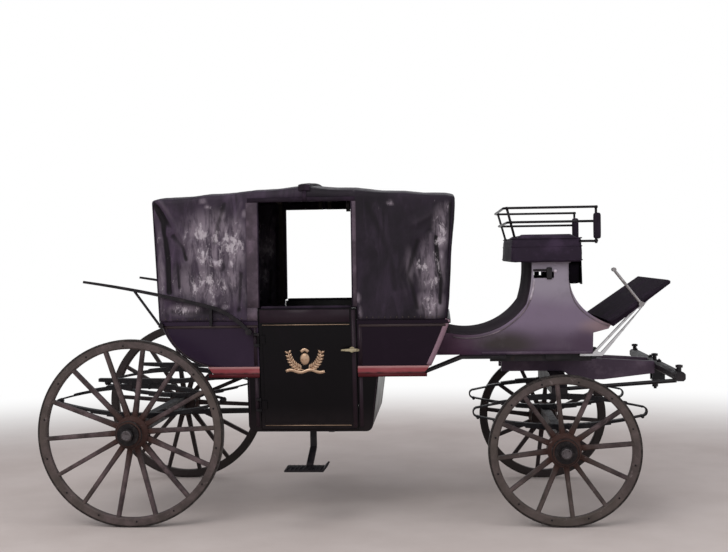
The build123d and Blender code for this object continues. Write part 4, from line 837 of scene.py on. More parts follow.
def stud_ring_tree():
    """Studs spread evenly round a circle in the local XY plane."""
    tree = new_tree("Ring of studs", (("Ring Radius", "Float", 0.1), ("Count", "Int", 8), *STUD_SOCKETS))
    n, link = tree.nodes, tree.links.new
    circle = n.new("GeometryNodeCurvePrimitiveCircle")
    points = n.new("GeometryNodeCurveToPoints")
    points.mode = "COUNT"
    link(circle.outputs["Curve"], points.inputs[0])
    entry = stud_nodes(tree, points.outputs[0])
    link(entry.outputs["Ring Radius"], circle.inputs["Radius"])
    link(entry.outputs["Count"], points.inputs["Count"])
    return tree


def rib_tree():
    """Raised ribs in a row, for a step tread."""
    sockets = (
        ("Count", "Int", 8),
        ("Start", "Vector", (0.0, 0.0, 0.0)),
        ("Step", "Vector", (0.02, 0.0, 0.0)),
        ("Size", "Vector", (0.004, 0.15, 0.003)),
    )
    tree = new_tree("Row of ribs", sockets)
    n, link = tree.nodes, tree.links.new
    entry = n.new("NodeGroupInput")
    line = n.new("GeometryNodeMeshLine")
    link(entry.outputs["Count"], line.inputs["Count"])
    link(entry.outputs["Start"], line.inputs["Start Location"])
    link(entry.outputs["Step"], line.inputs["Offset"])
    rib = n.new("GeometryNodeMeshCube")
    link(entry.outputs["Size"], rib.inputs["Size"])
    place = n.new("GeometryNodeInstanceOnPoints")
    link(line.outputs[0], place.inputs["Points"])
    link(rib.outputs[0], place.inputs["Instance"])
    put_out(tree, entry, place)
    return tree


def grow(name, tree, values, points=((0, 0, 0),), edges=()):
    """A plain mesh made by a geometry node tree with these inputs."""
    mesh = bpy.data.meshes.new(name)
    mesh.from_pydata([tuple(p) for p in points], list(edges), [])
    made = show(name, mesh)
    modifier = made.modifiers.new("Nodes", "NODES")
    modifier.node_group = tree
    for item in tree.interface.items_tree:
        if item.item_type == "SOCKET" and item.in_out == "INPUT" and item.name in values:
            modifier[item.identifier] = values[item.name]
    made = settle(made)
    made.data.shade_smooth()
    return made


def inflate(piece, voxel, pressure, cap):
    """Fills a closed pad with air as cloth, and keeps each point near where it began."""
    remesh = piece.modifiers.new("Grid", "REMESH")
    remesh.mode = "VOXEL"
    remesh.voxel_size = voxel
    piece = settle(piece)
    start = [v.co.copy() for v in piece.data.vertices]
    cloth = piece.modifiers.new("Cloth", "CLOTH")
    cloth.settings.use_pressure = True
    cloth.settings.uniform_pressure_force = pressure
    cloth.settings.effector_weights.gravity = 0.0
    cloth.settings.quality = 4
    cloth.settings.tension_stiffness = 12
    cloth.settings.bending_stiffness = 0.8
    cloth.point_cache.frame_start = 1
    cloth.point_cache.frame_end = CLOTH_FRAMES
    for number in range(1, CLOTH_FRAMES + 1):
        bpy.context.scene.frame_set(number)
    piece = settle(piece)
    bpy.context.scene.frame_set(1)
    for vertex, was in zip(piece.data.vertices, start):
        moved = vertex.co - was
        if moved.length > cap:
            vertex.co = was + moved.normalized() * cap
    return piece


def refine(piece, material):
    """A pad divided once and smoothed, in its finish."""
    divide = piece.modifiers.new("Divide", "SUBSURF")
    divide.levels = 1
    divide.render_levels = 1
    piece = settle(piece)
    cover(piece.data, material)
    piece.data.shade_smooth()
    return piece


def grid_lines(start, end, step):
    """Places from start to end, a whole number of steps apart."""
    count = max(2, int(round((end - start) / step)))
    return [start + (end - start) * k / count for k in range(count + 1)]


def arc(a, b, c, count):
    """Points in a plane on the circle through three points, as (x, z) pairs."""
    (ax, az), (bx, bz), (cx, cz) = a, b, c
    d = 2 * (ax * (bz - cz) + bx * (cz - az) + cx * (az - bz))
    sa, sb, sc = ax * ax + az * az, bx * bx + bz * bz, cx * cx + cz * cz
    ox = (sa * (bz - cz) + sb * (cz - az) + sc * (az - bz)) / d
    oz = (sa * (cx - bx) + sb * (ax - cx) + sc * (bx - ax)) / d
    start, middle, end = (math.atan2(z - oz, x - ox) for x, z in (a, b, c))
    while middle < start:
        middle += 2 * math.pi
    while end < start:
        end += 2 * math.pi
    if middle > end:
        end -= 2 * math.pi
    radius = math.hypot(ax - ox, az - oz)
    return [
        (
            ox + radius * math.cos(start + (end - start) * k / (count - 1)),
            oz + radius * math.sin(start + (end - start) * k / (count - 1)),
        )
        for k in range(count)
    ]


def round_box(name, low, high, radius, material, cuts=6, shape=None):
    """A box with rounded edges, divided evenly, and bent by a shape function."""
    low, high = Vector(low), Vector(high)
    size = high - low
    steps = [max(2, int(round(value / cuts)) + 1) if isinstance(cuts, float) else cuts for value in size]
    index, points, faces = {}, [], []

    def corner(i, j, k):
        key = (i, j, k)
        if key not in index:
            place = Vector(low[a] + size[a] * key[a] / steps[a] for a in range(3))
            inner = Vector(min(max(place[a], low[a] + radius), high[a] - radius) for a in range(3))
            away = place - inner
            if away.length > 1e-9:
                place = inner + away.normalized() * radius
            index[key] = len(points)
            points.append(shape(place) if shape else place)
        return index[key]

    for a, b, c in ((0, 1, 2), (1, 2, 0), (2, 0, 1)):
        for end in (0, steps[c]):
            for i in range(steps[a]):
                for j in range(steps[b]):
                    quad = []
                    for u, v in ((i, j), (i + 1, j), (i + 1, j + 1), (i, j + 1)):
                        key = [0, 0, 0]
                        key[a], key[b], key[c] = u, v, end
                        quad.append(corner(*key))
                    faces.append(tuple(quad if end else reversed(quad)))
    return solid(name, points, faces, material)


def tree_named(name, build):
    return bpy.data.node_groups.get(name) or build()


def studs_along(name, path, facing, material, spacing, radius):
    """Domed studs at an even spacing along a path, all facing one way."""
    edges = [(k, k + 1) for k in range(len(path) - 1)]
    values = {
        "Spacing": spacing,
        "Stud Radius": radius,
        "Stud Height": 0.55,
        "Outward": Vector(facing),
        "Finish": finish(material),
    }
    return grow(name, tree_named("Row of studs", stud_row_tree), values, path, edges)


def studs_round(name, ring_radius, count, material, radius):
    """Domed studs in a ring about local Z."""
    values = {
        "Ring Radius": ring_radius,
        "Count": count,
        "Stud Radius": radius,
        "Stud Height": 0.6,
        "Finish": finish(material),
    }
    return grow(name, tree_named("Ring of studs", stud_ring_tree), values)


def lined(sheet, thick):
    """An open sheet thickened inward, with closed edges."""
    skin = sheet.modifiers.new("Leather", "SOLIDIFY")
    skin.thickness = thick
    skin.offset = -1.0
    skin.use_rim = True
    sheet = settle(sheet)
    sheet.data.shade_smooth()
    return sheet


def hold(pad, low, high, below, above):
    """Keeps each point in a box that is let out below and above by these amounts on each axis."""
    for vertex in pad.data.vertices:
        for a in range(3):
            vertex.co[a] = min(max(vertex.co[a], low[a] - below[a]), high[a] + above[a])


def mirrored(half):
    """A whole section from its left half."""
    return list(half) + [(-a, b) for a, b in reversed(half) if a]


def band_faces(here, there, count):
    """Faces between two closed rings of points."""
    return [(here + k, here + (k + 1) % count, there + (k + 1) % count, there + k) for k in range(count)]


def divided(points, count):
    """The points of a broken line, with each of its legs divided evenly."""
    path = []
    for a, b in zip(points, points[1:]):
        path += straight(a, b, count)[:-1]
    return path + [Vector(points[-1])]


def face(side, station, z, lift=0.0):
    """A point on the body's leaning side, lifted off it."""
    return (st(station), side * (half_at(z) + lift), z)


def side_strip(name, side, points, section, material, lift=0.0):
    """A moulding laid on the body's leaning side, through points given by station and height."""
    path = [face(side, station, z, lift) for station, z in points]
    return run_along(name, path, (0, side, -LEAN), section, material)


def side_box(name, side, stations, reach, heights, radius, material, cuts):
    """A rounded box on one side, between two stations, two distances from the middle and two heights."""
    low_y, high_y = sorted(side * value for value in reach)
    low, high = (st(stations[0]), low_y, heights[0]), (st(stations[1]), high_y, heights[1])
    return round_box(name, low, high, radius, material, cuts=cuts)


def fit(name, pieces, material, body, smooth=True):
    """Several pieces made one that rides on a body."""
    return on(gather(name, pieces, material, smooth), body)


# Soft goods


def from_line(path, x, z):
    """Signed distance in a side view from a broken line, positive on its left."""
    nearest, sign = 9.0, 1.0
    for (ax, az), (bx, bz) in zip(path, path[1:]):
        dx, dz = bx - ax, bz - az
        share = min(1.0, max(0.0, ((x - ax) * dx + (z - az) * dz) / (dx * dx + dz * dz)))
        far = math.hypot(x - ax - dx * share, z - az - dz * share)
        if far < nearest:
            nearest, sign = far, 1.0 if dx * (z - az) - dz * (x - ax) > 0 else -1.0
    return nearest * sign


def folded(creases, x, z):
    """Height of the marked folds here in metres, and their painted light from -1 for painted shade to 1 for
    painted highlight.
    """
    out, tone = 0.0, 0.0
    for path, depth, wide in creases:
        far = from_line(path, x, z)
        if abs(far) < wide * 5:
            valley = math.exp(-((far / wide) ** 2))
            ridge = math.exp(-(((abs(far) - wide * 2.1) / wide) ** 2)) * 0.42
            out += depth * (valley - ridge)
            strength = min(1.0, abs(depth) / 0.008) * (1.0 if depth < 0 else -1.0)
            tone += strength * (ridge - valley)
    return out, max(-1.0, min(1.0, tone))


def rubbed_at(spots, x, z):
    """How worn the leather is here, from marked places with their reach along and up."""
    most = 0.0
    for cx, cz, along, up, amount in spots:
        far = math.hypot((x - cx) / along, (z - cz) / up)
        if far < 1.0:
            most = max(most, amount * (1 - far * far) ** 1.5)
    return most


def head_wall(low, middle, top, bend):
    """The place of a head's end wall at each share of its height, straight below and above its bend."""

    def wall(share):
        if share < bend:
            return st(low) + (st(middle) - st(low)) * share / bend
        return st(middle) + (st(top) - st(middle)) * (share - bend) / (1 - bend)

    return wall


def leather_head(label, sizes):
    """One head as a continuous leather sheet over its bows, open at the joint and the window."""
    head = HEADS[label]
    wall, bows, folds, notch = head_wall(*head["wall"]), head["bows"], head["folds"], head["notch"]
    edge_x, joint_x = st(head["edge"]), st(head["joint"])
    creases = [([(st(x), z) for x, z in path], depth, wide) for depth, wide, *path in head["creases"]]
    rubs = [(st(x), *rest) for x, *rest in head["rubs"]]
    step, radius, deep = sizes.head_grid, sizes.corner_radius, sizes.fold_depth
    way = 1.0 if joint_x > edge_x else -1.0
    top_x = wall(1.0)
    edge_run, run = abs(edge_x - top_x), abs(joint_x - top_x)
    tall = HEAD_END_Z - BELT_Z
    window_share = (WINDOW_TOP_Z - BELT_Z) / tall
    xs = grid_lines(0.0, edge_run, step) + grid_lines(edge_run, run, step)[1:]
    ys = grid_lines(-HEAD_HALF, HEAD_HALF, step)
    zs = [z * tall for z in grid_lines(0.0, window_share, step / tall) + [1.0]]
    edge_index = next(i for i, x in enumerate(xs) if abs(x - edge_run) < 1e-6)
    window_index = len(zs) - 2
    index, points, faces, dark, worn = {}, [], [], [], []
    notch_i = notch_k = None
    if notch:
        notch_x, notch_z = st(notch[0]), notch[1]
        along = (notch_x - wall(0.0)) / (edge_x - wall(0.0)) * edge_run
        notch_i = min(range(len(xs)), key=lambda n: abs(xs[n] - along))
        notch_k = min(range(len(zs)), key=lambda n: abs(zs[n] - (notch_z - BELT_Z)))

    def roof_z(x_run, y):
        rise = (HEAD_JOINT_Z - HEAD_END_Z) * x_run / run
        return HEAD_END_Z + rise + HEAD_CROWN * (1 - (y / HEAD_HALF) ** 2)

    def relief(x_run, y, z_run, away):
        """How far the leather stands out here: grain, sag between the bows, folds, waves and puckers."""
        place = Vector((x_run, y * 0.7 + (3.0 if way > 0 else 11.0), z_run))
        out = 0.0032 * noise.noise(place * 4.0) + 0.0016 * noise.noise(place * 13.0)
        out += 0.0005 * noise.noise(place * 42.0)
        upright = 1 - away.z
        nearest = min(abs(x_run - bow) for bow in bows)
        sag = min(1.0, nearest / 0.12)
        out -= 0.006 * sag * away.z + 0.0035 * sag * upright * math.sin(math.pi * min(1.0, z_run / tall))
        if abs(away.y) > 0.5:
            for (cx, cz), angle, wide, size, reach in folds:
                dx, dz = x_run - cx, cz - z_run
                far = math.hypot(dx, dz)
                if far < 1e-4:
                    continue
                turn = math.degrees(math.atan2(dz, dx)) - angle - 5.0 * noise.noise(place * 3.0)
                width = wide * (0.6 + 0.6 * far / reach)
                fade = min(1.0, far / 0.06) * max(0.0, 1 - (far / reach) ** 2)
                out += deep * size * math.exp(-((turn / width) ** 2)) * fade
        along = x_run
        if abs(away.x) > 0.5:
            wave = math.sin(y * 21.0 + 1.5 * noise.noise(place * 3.0))
            out += 0.004 * wave * min(1.0, z_run / 0.3) * 0.6
            along = y
        pucker = math.exp(-z_run / 0.05)
        return out + 0.0018 * math.sin(2 * math.pi * along / PUCKER_GAP) * pucker * upright

    def corner(i, j, k):
        key = (i, j, k)
        if key in index:
            return index[key]
        place = Vector((xs[i], ys[j], zs[k]))
        low_y, high_y = radius - HEAD_HALF, HEAD_HALF - radius
        inner = Vector((max(xs[i], radius), min(max(ys[j], low_y), high_y), min(zs[k], tall - radius * 0.4)))
        away = place - inner
        if away.length > 1e-9:
            away = away.normalized()
            place = inner + Vector((away.x * radius, away.y * radius, away.z * radius * 0.4))
        else:
            away = Vector((0, 0, 1))
        away.x = abs(away.x)
        share = place.z / tall
        low_wall = wall(share)
        if place.x <= edge_run:
            x = low_wall + (edge_x - low_wall) * place.x / edge_run
        else:
            x = edge_x + (joint_x - edge_x) * (place.x - edge_run) / (run - edge_run)
        z = BELT_Z + place.z
        if share > 0.9:
            high_z = BELT_Z + (roof_z(place.x, place.y) - BELT_Z) * share
            z += (high_z - z) * min(1.0, (share - 0.9) / 0.07)
        if k <= window_index and place.x >= edge_run - 1e-6:
            z = min(z, WINDOW_TOP_Z)
        if notch and i >= notch_i and k == notch_k:
            z = notch_z
        if notch and i == notch_i and k <= notch_k:
            x = notch_x
        out = relief(place.x, place.y, place.z, away)
        sideways = abs(away.y)
        tone = 0.0
        if sideways > 0.3:
            extra, tone = folded(creases, x, z)
            out += extra * sideways
        # Painted shade and highlight of the folds, carried on the points.
        dark.append(tone * sideways)
        worn.append(rubbed_at(rubs, x, z) * (sideways if sideways > 0.3 else 0.35))
        wall_out = Vector((-way * away.x, away.y, away.z))
        final = Vector((x, place.y, z)) + wall_out * out * (0.4 if k == 0 else 1.0)
        if place.x <= radius and away.x > 0.3:
            final.x += 0.004 * math.sin(z * 11.0) * (1 - sideways)
        index[key] = len(points)
        points.append(final)
        return index[key]

    last_x, last_y, last_z = len(xs) - 1, len(ys) - 1, len(zs) - 1
    for i in range(last_x):
        for j in range(last_y):
            spots = ((i, j), (i + 1, j), (i + 1, j + 1), (i, j + 1))
            faces.append(tuple(corner(a, b, last_z) for a, b in spots))
        for k in range(last_z):
            if i >= edge_index and k < window_index:
                continue
            if notch and i >= notch_i and k < notch_k:
                continue
            for j, flip in ((0, False), (last_y, True)):
                quad = (corner(i, j, k), corner(i + 1, j, k), corner(i + 1, j, k + 1), corner(i, j, k + 1))
                faces.append(tuple(reversed(quad)) if flip else quad)
    for j in range(last_y):
        for k in range(last_z):
            spots = ((j + 1, k), (j, k), (j, k + 1), (j + 1, k + 1))
            faces.append(tuple(corner(0, a, b) for a, b in spots))
    made = solid(f"{label}_head_leather", points, faces, f"{label} head leather")
    for name, values in (("fold_shade_and_highlight", dark), ("worn", worn)):
        made.data.attributes.new(name, "FLOAT", "POINT").data.foreach_set("value", values)
    if way < 0:
        made.data.flip_normals()
    return lined(made, sizes.leather)


# Operators, one for each group of pieces


class CARRIAGE_OT_finishes(bpy.types.Operator):
    """Make every finish and put it on the wood, iron and paint of the carriage"""

    bl_idname = "carriage.finishes"
    bl_label = "Paint and Metal"

    def execute(self, context):
        build_finishes(context.scene.carriage_colours)
        named = {node: label for label, nodes in NODE_FINISHES.items() for node in nodes}
        for node, shown in NODES.items():
            label = named.get(node, "gear iron")
            if node.endswith("_tyre"):
                label = "tyre iron"
            elif node.endswith("_hub_cap"):
                label = "nave iron"
            elif node.endswith("_wheel"):
                label = wheel_finish(node.removesuffix("_wheel"))
            cover(shown.data, label)
        return {"FINISHED"}


class CARRIAGE_OT_heads(bpy.types.Operator):
    """Stretch the two leather heads over their bows"""

    bl_idname = "carriage.heads"
    bl_label = "Leather Heads"

    def execute(self, context):
        heads = [(leather_head(label, context.scene.carriage_sizes), label) for label in HEADS]
        for piece, label in heads:
            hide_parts(f"{label}_hood")
            on(piece, BODY)
        return {"FINISHED"}


class CARRIAGE_OT_head_trim(bpy.types.Operator):
    """Straps, welts and nails on the leather heads"""

    bl_idname = "carriage.head_trim"
    bl_label = "Head Straps and Nails"

    def execute(self, context):
        sizes = context.scene.carriage_sizes
        narrow = resized(strip_section(0.031, 0.0028, 0.002, 0.004), 0.42)
        pillar = strip_section(0.036, 0.0028, 0.002, 0.020)
        bead = section_ring(8, 0.0042, 0.0042)
        top_z, nail_z = WINDOW_TOP_Z - 0.002, BELT_Z + 0.014
        stands = (
            (0.7208, BELT_Z + 0.002, 1.294, resized(pillar, 0.852), 2),
            (0.7265, 1.294, top_z, pillar, 10),
            (1.340, 1.296, top_z, narrow, 10),
        )
        jambs = (
            ((0.762, 1.297), (0.762, WINDOW_TOP_Z)),
            ((1.3565, BELT_Z + 0.006), (1.3565, 1.293), (1.3275, 1.2955), (1.3265, WINDOW_TOP_Z)),
        )
        straps, covers, welts, nails = [], [], [], []

        def nail_row(start, end, facing):
            row = [(*start, nail_z), (*end, nail_z)]
            spacing, radius = sizes.nail_spacing, sizes.nail_radius
            nails.append(studs_along("nail", row, facing, "nail brass", spacing, radius))

        for side in (1, -1):
            y = side * (HEAD_HALF + 0.0015)
            out = (0, side, 0)
            for station, low_z, high_z, section, count in stands:
                path = straight((st(station), y, low_z), (st(station), y, high_z), count)
                straps.append(run_along("strap", path, out, section, "head strap leather"))
            for low, high in ((0.70, 1.030), (1.060, 1.35)):
                path = [(st(station), y, WINDOW_TOP_Z + 0.012) for station in (low, high)]
                covers.append(run_along("cover", path, out, narrow, "joint leather"))
            path = [(st(1.045), y - side * 0.001, z) for z in (WINDOW_TOP_Z + 0.0005, 1.996)]
            covers.append(run_along("cover", path, out, narrow, "joint leather"))
            for jamb in jambs:
                path = [(st(station), y, z) for station, z in jamb]
                welts.append(run_along("welt", path, out, bead, "black trim leather"))
            corner_y = side * (HEAD_HALF - sizes.corner_radius * 0.29)
            for label, way in (("rear", 1), ("front", -1)):
                low, _, top, _ = HEADS[label]["wall"]
                inset = way * sizes.corner_radius * 0.28
                start, end = (st(low) + inset, corner_y, BELT_Z), (st(top) + inset, corner_y, BELT_Z + 0.71)
                path = straight(start, end, 12)
                welts.append(run_along("welt", path, (-way, side, 0), bead, "black trim leather"))
            nail_row((st(0.19), y), (st(0.69), y), out)
            nail_row((st(1.375), y), (st(1.84), y), out)
        for label, way in (("rear", -1), ("front", 1)):
            x = st(HEADS[label]["wall"][0]) + way * 0.0015
            nail_row((x, -0.56), (x, 0.56), (way, 0, 0))
        fit("head_straps", straps, "head strap leather", BODY)
        fit("head_covers", covers, "joint leather", BODY)
        fit("head_welts", welts, "black trim leather", BODY)
        fit("head_nails", nails, "nail brass", BODY)
        return {"FINISHED"}


class CARRIAGE_OT_mouldings(bpy.types.Operator):
    """Beads, painted lines and the gilt ornament on body and doors"""

    bl_idname = "carriage.mouldings"
    bl_label = "Mouldings and Lines"

    def execute(self, context):
        radius = context.scene.carriage_sizes.bead_radius
        fine = resized(section_ring(10, radius, radius, flat_back=True), 0.38, 0.38)
        belt, corner, under = (mirrored(half) for half in (BELT_SECTION, CORNER_SECTION, SILL_SECTION))
        pillar = strip_section(0.011, 0.0026, 0.001, 0.002)
        rear_line = arc((0.186, 1.178), (0.262, 1.046), (0.436, 0.942), 16)
        front_line = arc((1.779, 0.937), (1.836, 1.060), (1.897, 1.213), 14)
        belts, corners, wells, edges = [], [], [], []
        for side in (1, -1):
            for low, high in ((0.172, 0.748), (1.362, 1.880)):
                belts.append(side_strip("belt", side, ((low, 1.180), (high, 1.180)), belt, "belt paint"))
            belts.append(side_strip("belt", side, rear_line, fine, "belt paint"))
            path = [face(side, station - 0.002, z, -0.0045) for station, z in front_line]
            corners.append(run_along("corner", path, (0.42, side, 0), corner, "front corner paint"))
            # A screw head at the belt's front end, painted pale: a real screw with a painted highlight.
            low, high = face(side, 1.896, 1.196, -0.002), face(side, 1.908, 1.207, 0.006)
            corners.append(round_box("screw", low, high, 0.003, "front corner paint", cuts=4))
            for low, high in ((0.440, 0.751), (1.3515, 1.766)):
                ends = ((low, 0.8785), (high, 0.8785))
                edges.append(side_strip("edge", side, ends, under, "sill edge paint", 0.003))
            for ends in (((0.686, 0.884), (0.686, 0.584)), ((1.468, 0.884), (1.428, 0.590))):
                wells.append(side_strip("well", side, ends, fine, "frame paint"))
            for low_z, high_z in ((0.562, 0.884), (0.941, 1.182)):
                for station in (0.731, 1.367):
                    ends = ((station, low_z), (station, high_z))
                    wells.append(side_strip("pillar", side, ends, pillar, "frame paint"))
        fit("belt_mouldings", belts, "belt paint", BODY)
        fit("sill_edgings", edges, "sill edge paint", BODY)
        fit("front_corner_mouldings", corners, "front corner paint", BODY)
        fit("well_mouldings", wells, "frame paint", BODY)
        for name, side in SIDES:
            self.dress_door(name, side, fine)
        return {"FINISHED"}

    def dress_door(self, name, side, fine):
        """A door's frame strips, gilt lines, sash rail and ornament."""
        body = f"{name}_door_body"
        stile = strip_section(0.012, 0.003, 0.0015, 0.002)
        plate = strip_section(0.040, 0.003, 0.003, 0.002)
        rows = (
            ("stile", ((1.328, 0.556), (1.328, 1.274)), stile, "frame paint"),
            ("plate", ((0.764, 1.240), (1.306, 1.240)), plate, "frame paint"),
            ("line", ((0.778, 1.188), (1.304, 1.188)), fine, "gilt line"),
            ("line", ((0.778, 0.571), (1.304, 0.571)), fine, "gilt line"),
        )
        made = [side_strip(part, side, ends, section, paint, 0.005) for part, ends, section, paint in rows]
        spans = ((0.769, 1.318), (0.596, 0.615), (1.283, 1.302))
        on(side_box(f"{name}_sash_rail", side, *spans, 0.006, "black trim leather", 0.02), body)
        fit(f"{name}_door_frame", made[:2], "frame paint", body)
        fit(f"{name}_door_lines", made[2:], "gilt line", body)
        on(self.ornament(name, side), body)

    def ornament(self, name, side):
        """Two leafy sprays round an oval boss over a ribbon, in low relief."""
        out = Vector((0, side, -LEAN)).normalized()
        parts = []

        def place(u, v, lift=0.0):
            return Vector(face(side, 1.030 + u, 0.965 + v, 0.001)) + out * lift

        ring = section_ring(8, 0.0034, 0.0030)
        for way in (1, -1):

            def along(t, way=way):
                across = 0.010 + 0.092 * math.sin(t * 1.30)
                return Vector((way * across, -0.052 + 0.088 * t * t + 0.012 * t))

            stem = [place(*along(k / 10)) for k in range(11)]
            parts.append(run_along("stem", stem, out, ring, "gilt ornament"))
            for k in range(1, 9):
                t = k / 8
                root = along(t)
                for turn in (-1, 1):
                    lean = 0.45 + 0.95 * t + turn * 0.80
                    tip = root + Vector((way * math.cos(lean), math.sin(lean))) * (0.036 - 0.010 * t)
                    parts.append(self.leaf(place, root, tip, 0.0095))
        parts.append(self.boss(place, 0.014))
        front = [(-0.0095, 0.0), (-0.0075, 0.003), (0.0075, 0.003), (0.0095, 0.0)]
        band = front + [(0.0075, -0.001), (-0.0075, -0.001)]
        ribbon = [place(-0.118 + 0.0118 * k, -0.060 + 0.008 * math.sin(k * 0.62)) for k in range(21)]
        parts.append(run_along("ribbon", ribbon, out, band, "gilt ornament"))
        knot = [place(-0.022 + 0.0044 * k, 0.058 + 0.014 * math.sin(math.pi * k / 10)) for k in range(11)]
        parts.append(run_along("knot", knot, out, band, "gilt ornament"))
        made = gather(f"{name}_door_ornament", parts, "gilt ornament")
        outward(made.data)
        return made

    def boss(self, place, up):
        """A domed oval in four rings that closes to a point in front and behind."""
        count, points, faces = 20, [], []
        for wide, lift in ((1.0, 0.0), (0.86, 0.0045), (0.5, 0.0075), (0.12, 0.0085)):
            for k in range(count):
                turn = 2 * math.pi * k / count
                points.append(place(0.030 * wide * math.cos(turn), up + 0.038 * wide * math.sin(turn), lift))
        points += [place(0, up, 0.0088), place(0, up, -0.001)]
        for row in range(3):
            faces += band_faces(row * count, (row + 1) * count, count)
        for k in range(count):
            n = (k + 1) % count
            faces.append((3 * count + k, 3 * count + n, 4 * count))
            faces.append((n, k, 4 * count + 1))
        return solid("boss", points, faces, "gilt ornament")

    def leaf(self, place, root, tip, wide):
        """A pointed leaf with a raised middle, from its root to its tip."""
        run = tip - root
        across = Vector((-run.y, run.x)).normalized()
        rows, points, faces = (0.0, 0.3, 0.6, 0.85, 1.0), [], []
        for share in rows:
            here = root + run * share
            half = wide * math.sin(math.pi * min(0.98, 0.08 + share * 0.9))
            lift = 0.003 * math.sin(math.pi * min(0.98, 0.1 + share * 0.85))
            for offset, up in ((half, 0.0005), (0.0, 0.001 + lift), (-half, 0.0005), (0.0, -0.001)):
                spot = here + across * offset
                points.append(place(spot.x, spot.y, up))
        for row in range(len(rows) - 1):
            faces += band_faces(row * 4, row * 4 + 4, 4)
        end = (len(rows) - 1) * 4
        faces += [(0, 1, 2, 3), (end + 3, end + 2, end + 1, end)]
        return solid("leaf", points, faces, "gilt ornament")


class CARRIAGE_OT_cabin_trim(bpy.types.Operator):
    """Cushions and buttoned squabs inside the cabin, and the window strap"""

    bl_idname = "carriage.cabin_trim"
    bl_label = "Cabin Trimming"

    def execute(self, context):
        rows = context.scene.carriage_sizes.button_rows
        for end, low, high in (("rear", 0.362, 0.690), ("front", 1.470, 1.795)):
            low, high = (st(low), -TRIM_HALF, 0.962), (st(high), TRIM_HALF, 1.030)
            pad = round_box(f"{end}_seat_cushion", low, high, 0.028, "cabin cloth", cuts=0.05)
            pad = refine(inflate(pad, 0.014, 4.0, 0.012), "cabin cloth")
            hold(pad, low, high, (0.006, 0.006, 0.006), (0.006, 0.006, 0.006))
            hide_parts("cushions")
            on(pad, BODY)

        def rear_bend(place):
            share = (place.z - 1.04) / 0.455
            back = st(0.330) - 0.165 * share + 0.045 * math.sin(math.pi * share)
            return Vector((back + (place.x - REAR_X), place.y, place.z))

        def front_bend(place):
            share = (place.z - 1.04) / 0.385
            return Vector((st(1.752) + 0.035 * share + (place.x - REAR_X), place.y, place.z))

        self.squab("rear_squab", 1.495, rear_bend, 0.085, 1, rows)
        self.squab("front_squab", 1.425, front_bend, 0.070, -1, max(2, rows - 1))
        strap = [(-0.014, 0.0015), (0.014, 0.0015), (0.014, -0.0015), (-0.014, -0.0015)]
        path = [(st(1.222), 0.45 - 0.02 * math.sin(k / 8 * math.pi), 1.985 - 0.010 * k) for k in range(9)]
        on(run_along("window_strap", path, (0, -1, 0), strap, "window strap"), BODY)
        return {"FINISHED"}

    def squab(self, name, top, bend, deep, way, count):
        """A padded seat back, drawn in at its buttons. Way is 1 where it faces forward."""
        low, high = (REAR_X, -TRIM_HALF, 1.042), (REAR_X + deep, TRIM_HALF, top - 0.008)
        pad = round_box(name, low, high, 0.026, "cabin cloth", cuts=0.05, shape=bend)
        pad = refine(inflate(pad, 0.014, 4.0, 0.010), "cabin cloth")
        spots = []
        for row in range(count):
            z = 1.11 + (top - 1.19) * row / (count - 1)
            places = [(k + (0.5 if row % 2 else 0.0)) * 0.118 for k in range(-4, 5)]
            spots += [(y, z) for y in places if abs(y) < TRIM_HALF - 0.04]
        for vertex in pad.data.vertices:
            for y, z in spots:
                far = math.hypot(vertex.co.y - y, vertex.co.z - z)
                if far < 0.07:
                    middle = bend(Vector((REAR_X + deep / 2, 0, vertex.co.z))).x
                    if (vertex.co.x - middle) * way > 0:
                        vertex.co.x -= way * 0.016 * math.exp(-((far / 0.024) ** 2))
        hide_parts("squabs")
        on(pad, BODY)
        outline = ((0.0, -0.004), (0.008, -0.003), (0.0095, 0.001), (0.006, 0.004), (0.0, 0.005))
        turn = Matrix(((0, 0, way, 0), (1, 0, 0, 0), (0, way, 0, 0), (0, 0, 0, 1)))
        buttons = []
        for y, z in spots:
            x = bend(Vector((REAR_X + (deep if way > 0 else 0.0), 0, z))).x - way * 0.010
            button = lathe("button", outline, "cabin cloth", 10)
            button.data.transform(Matrix.Translation((x, y, z)) @ turn)
            buttons.append(button)
        fit(f"{name}_buttons", buttons, "cabin cloth", BODY)


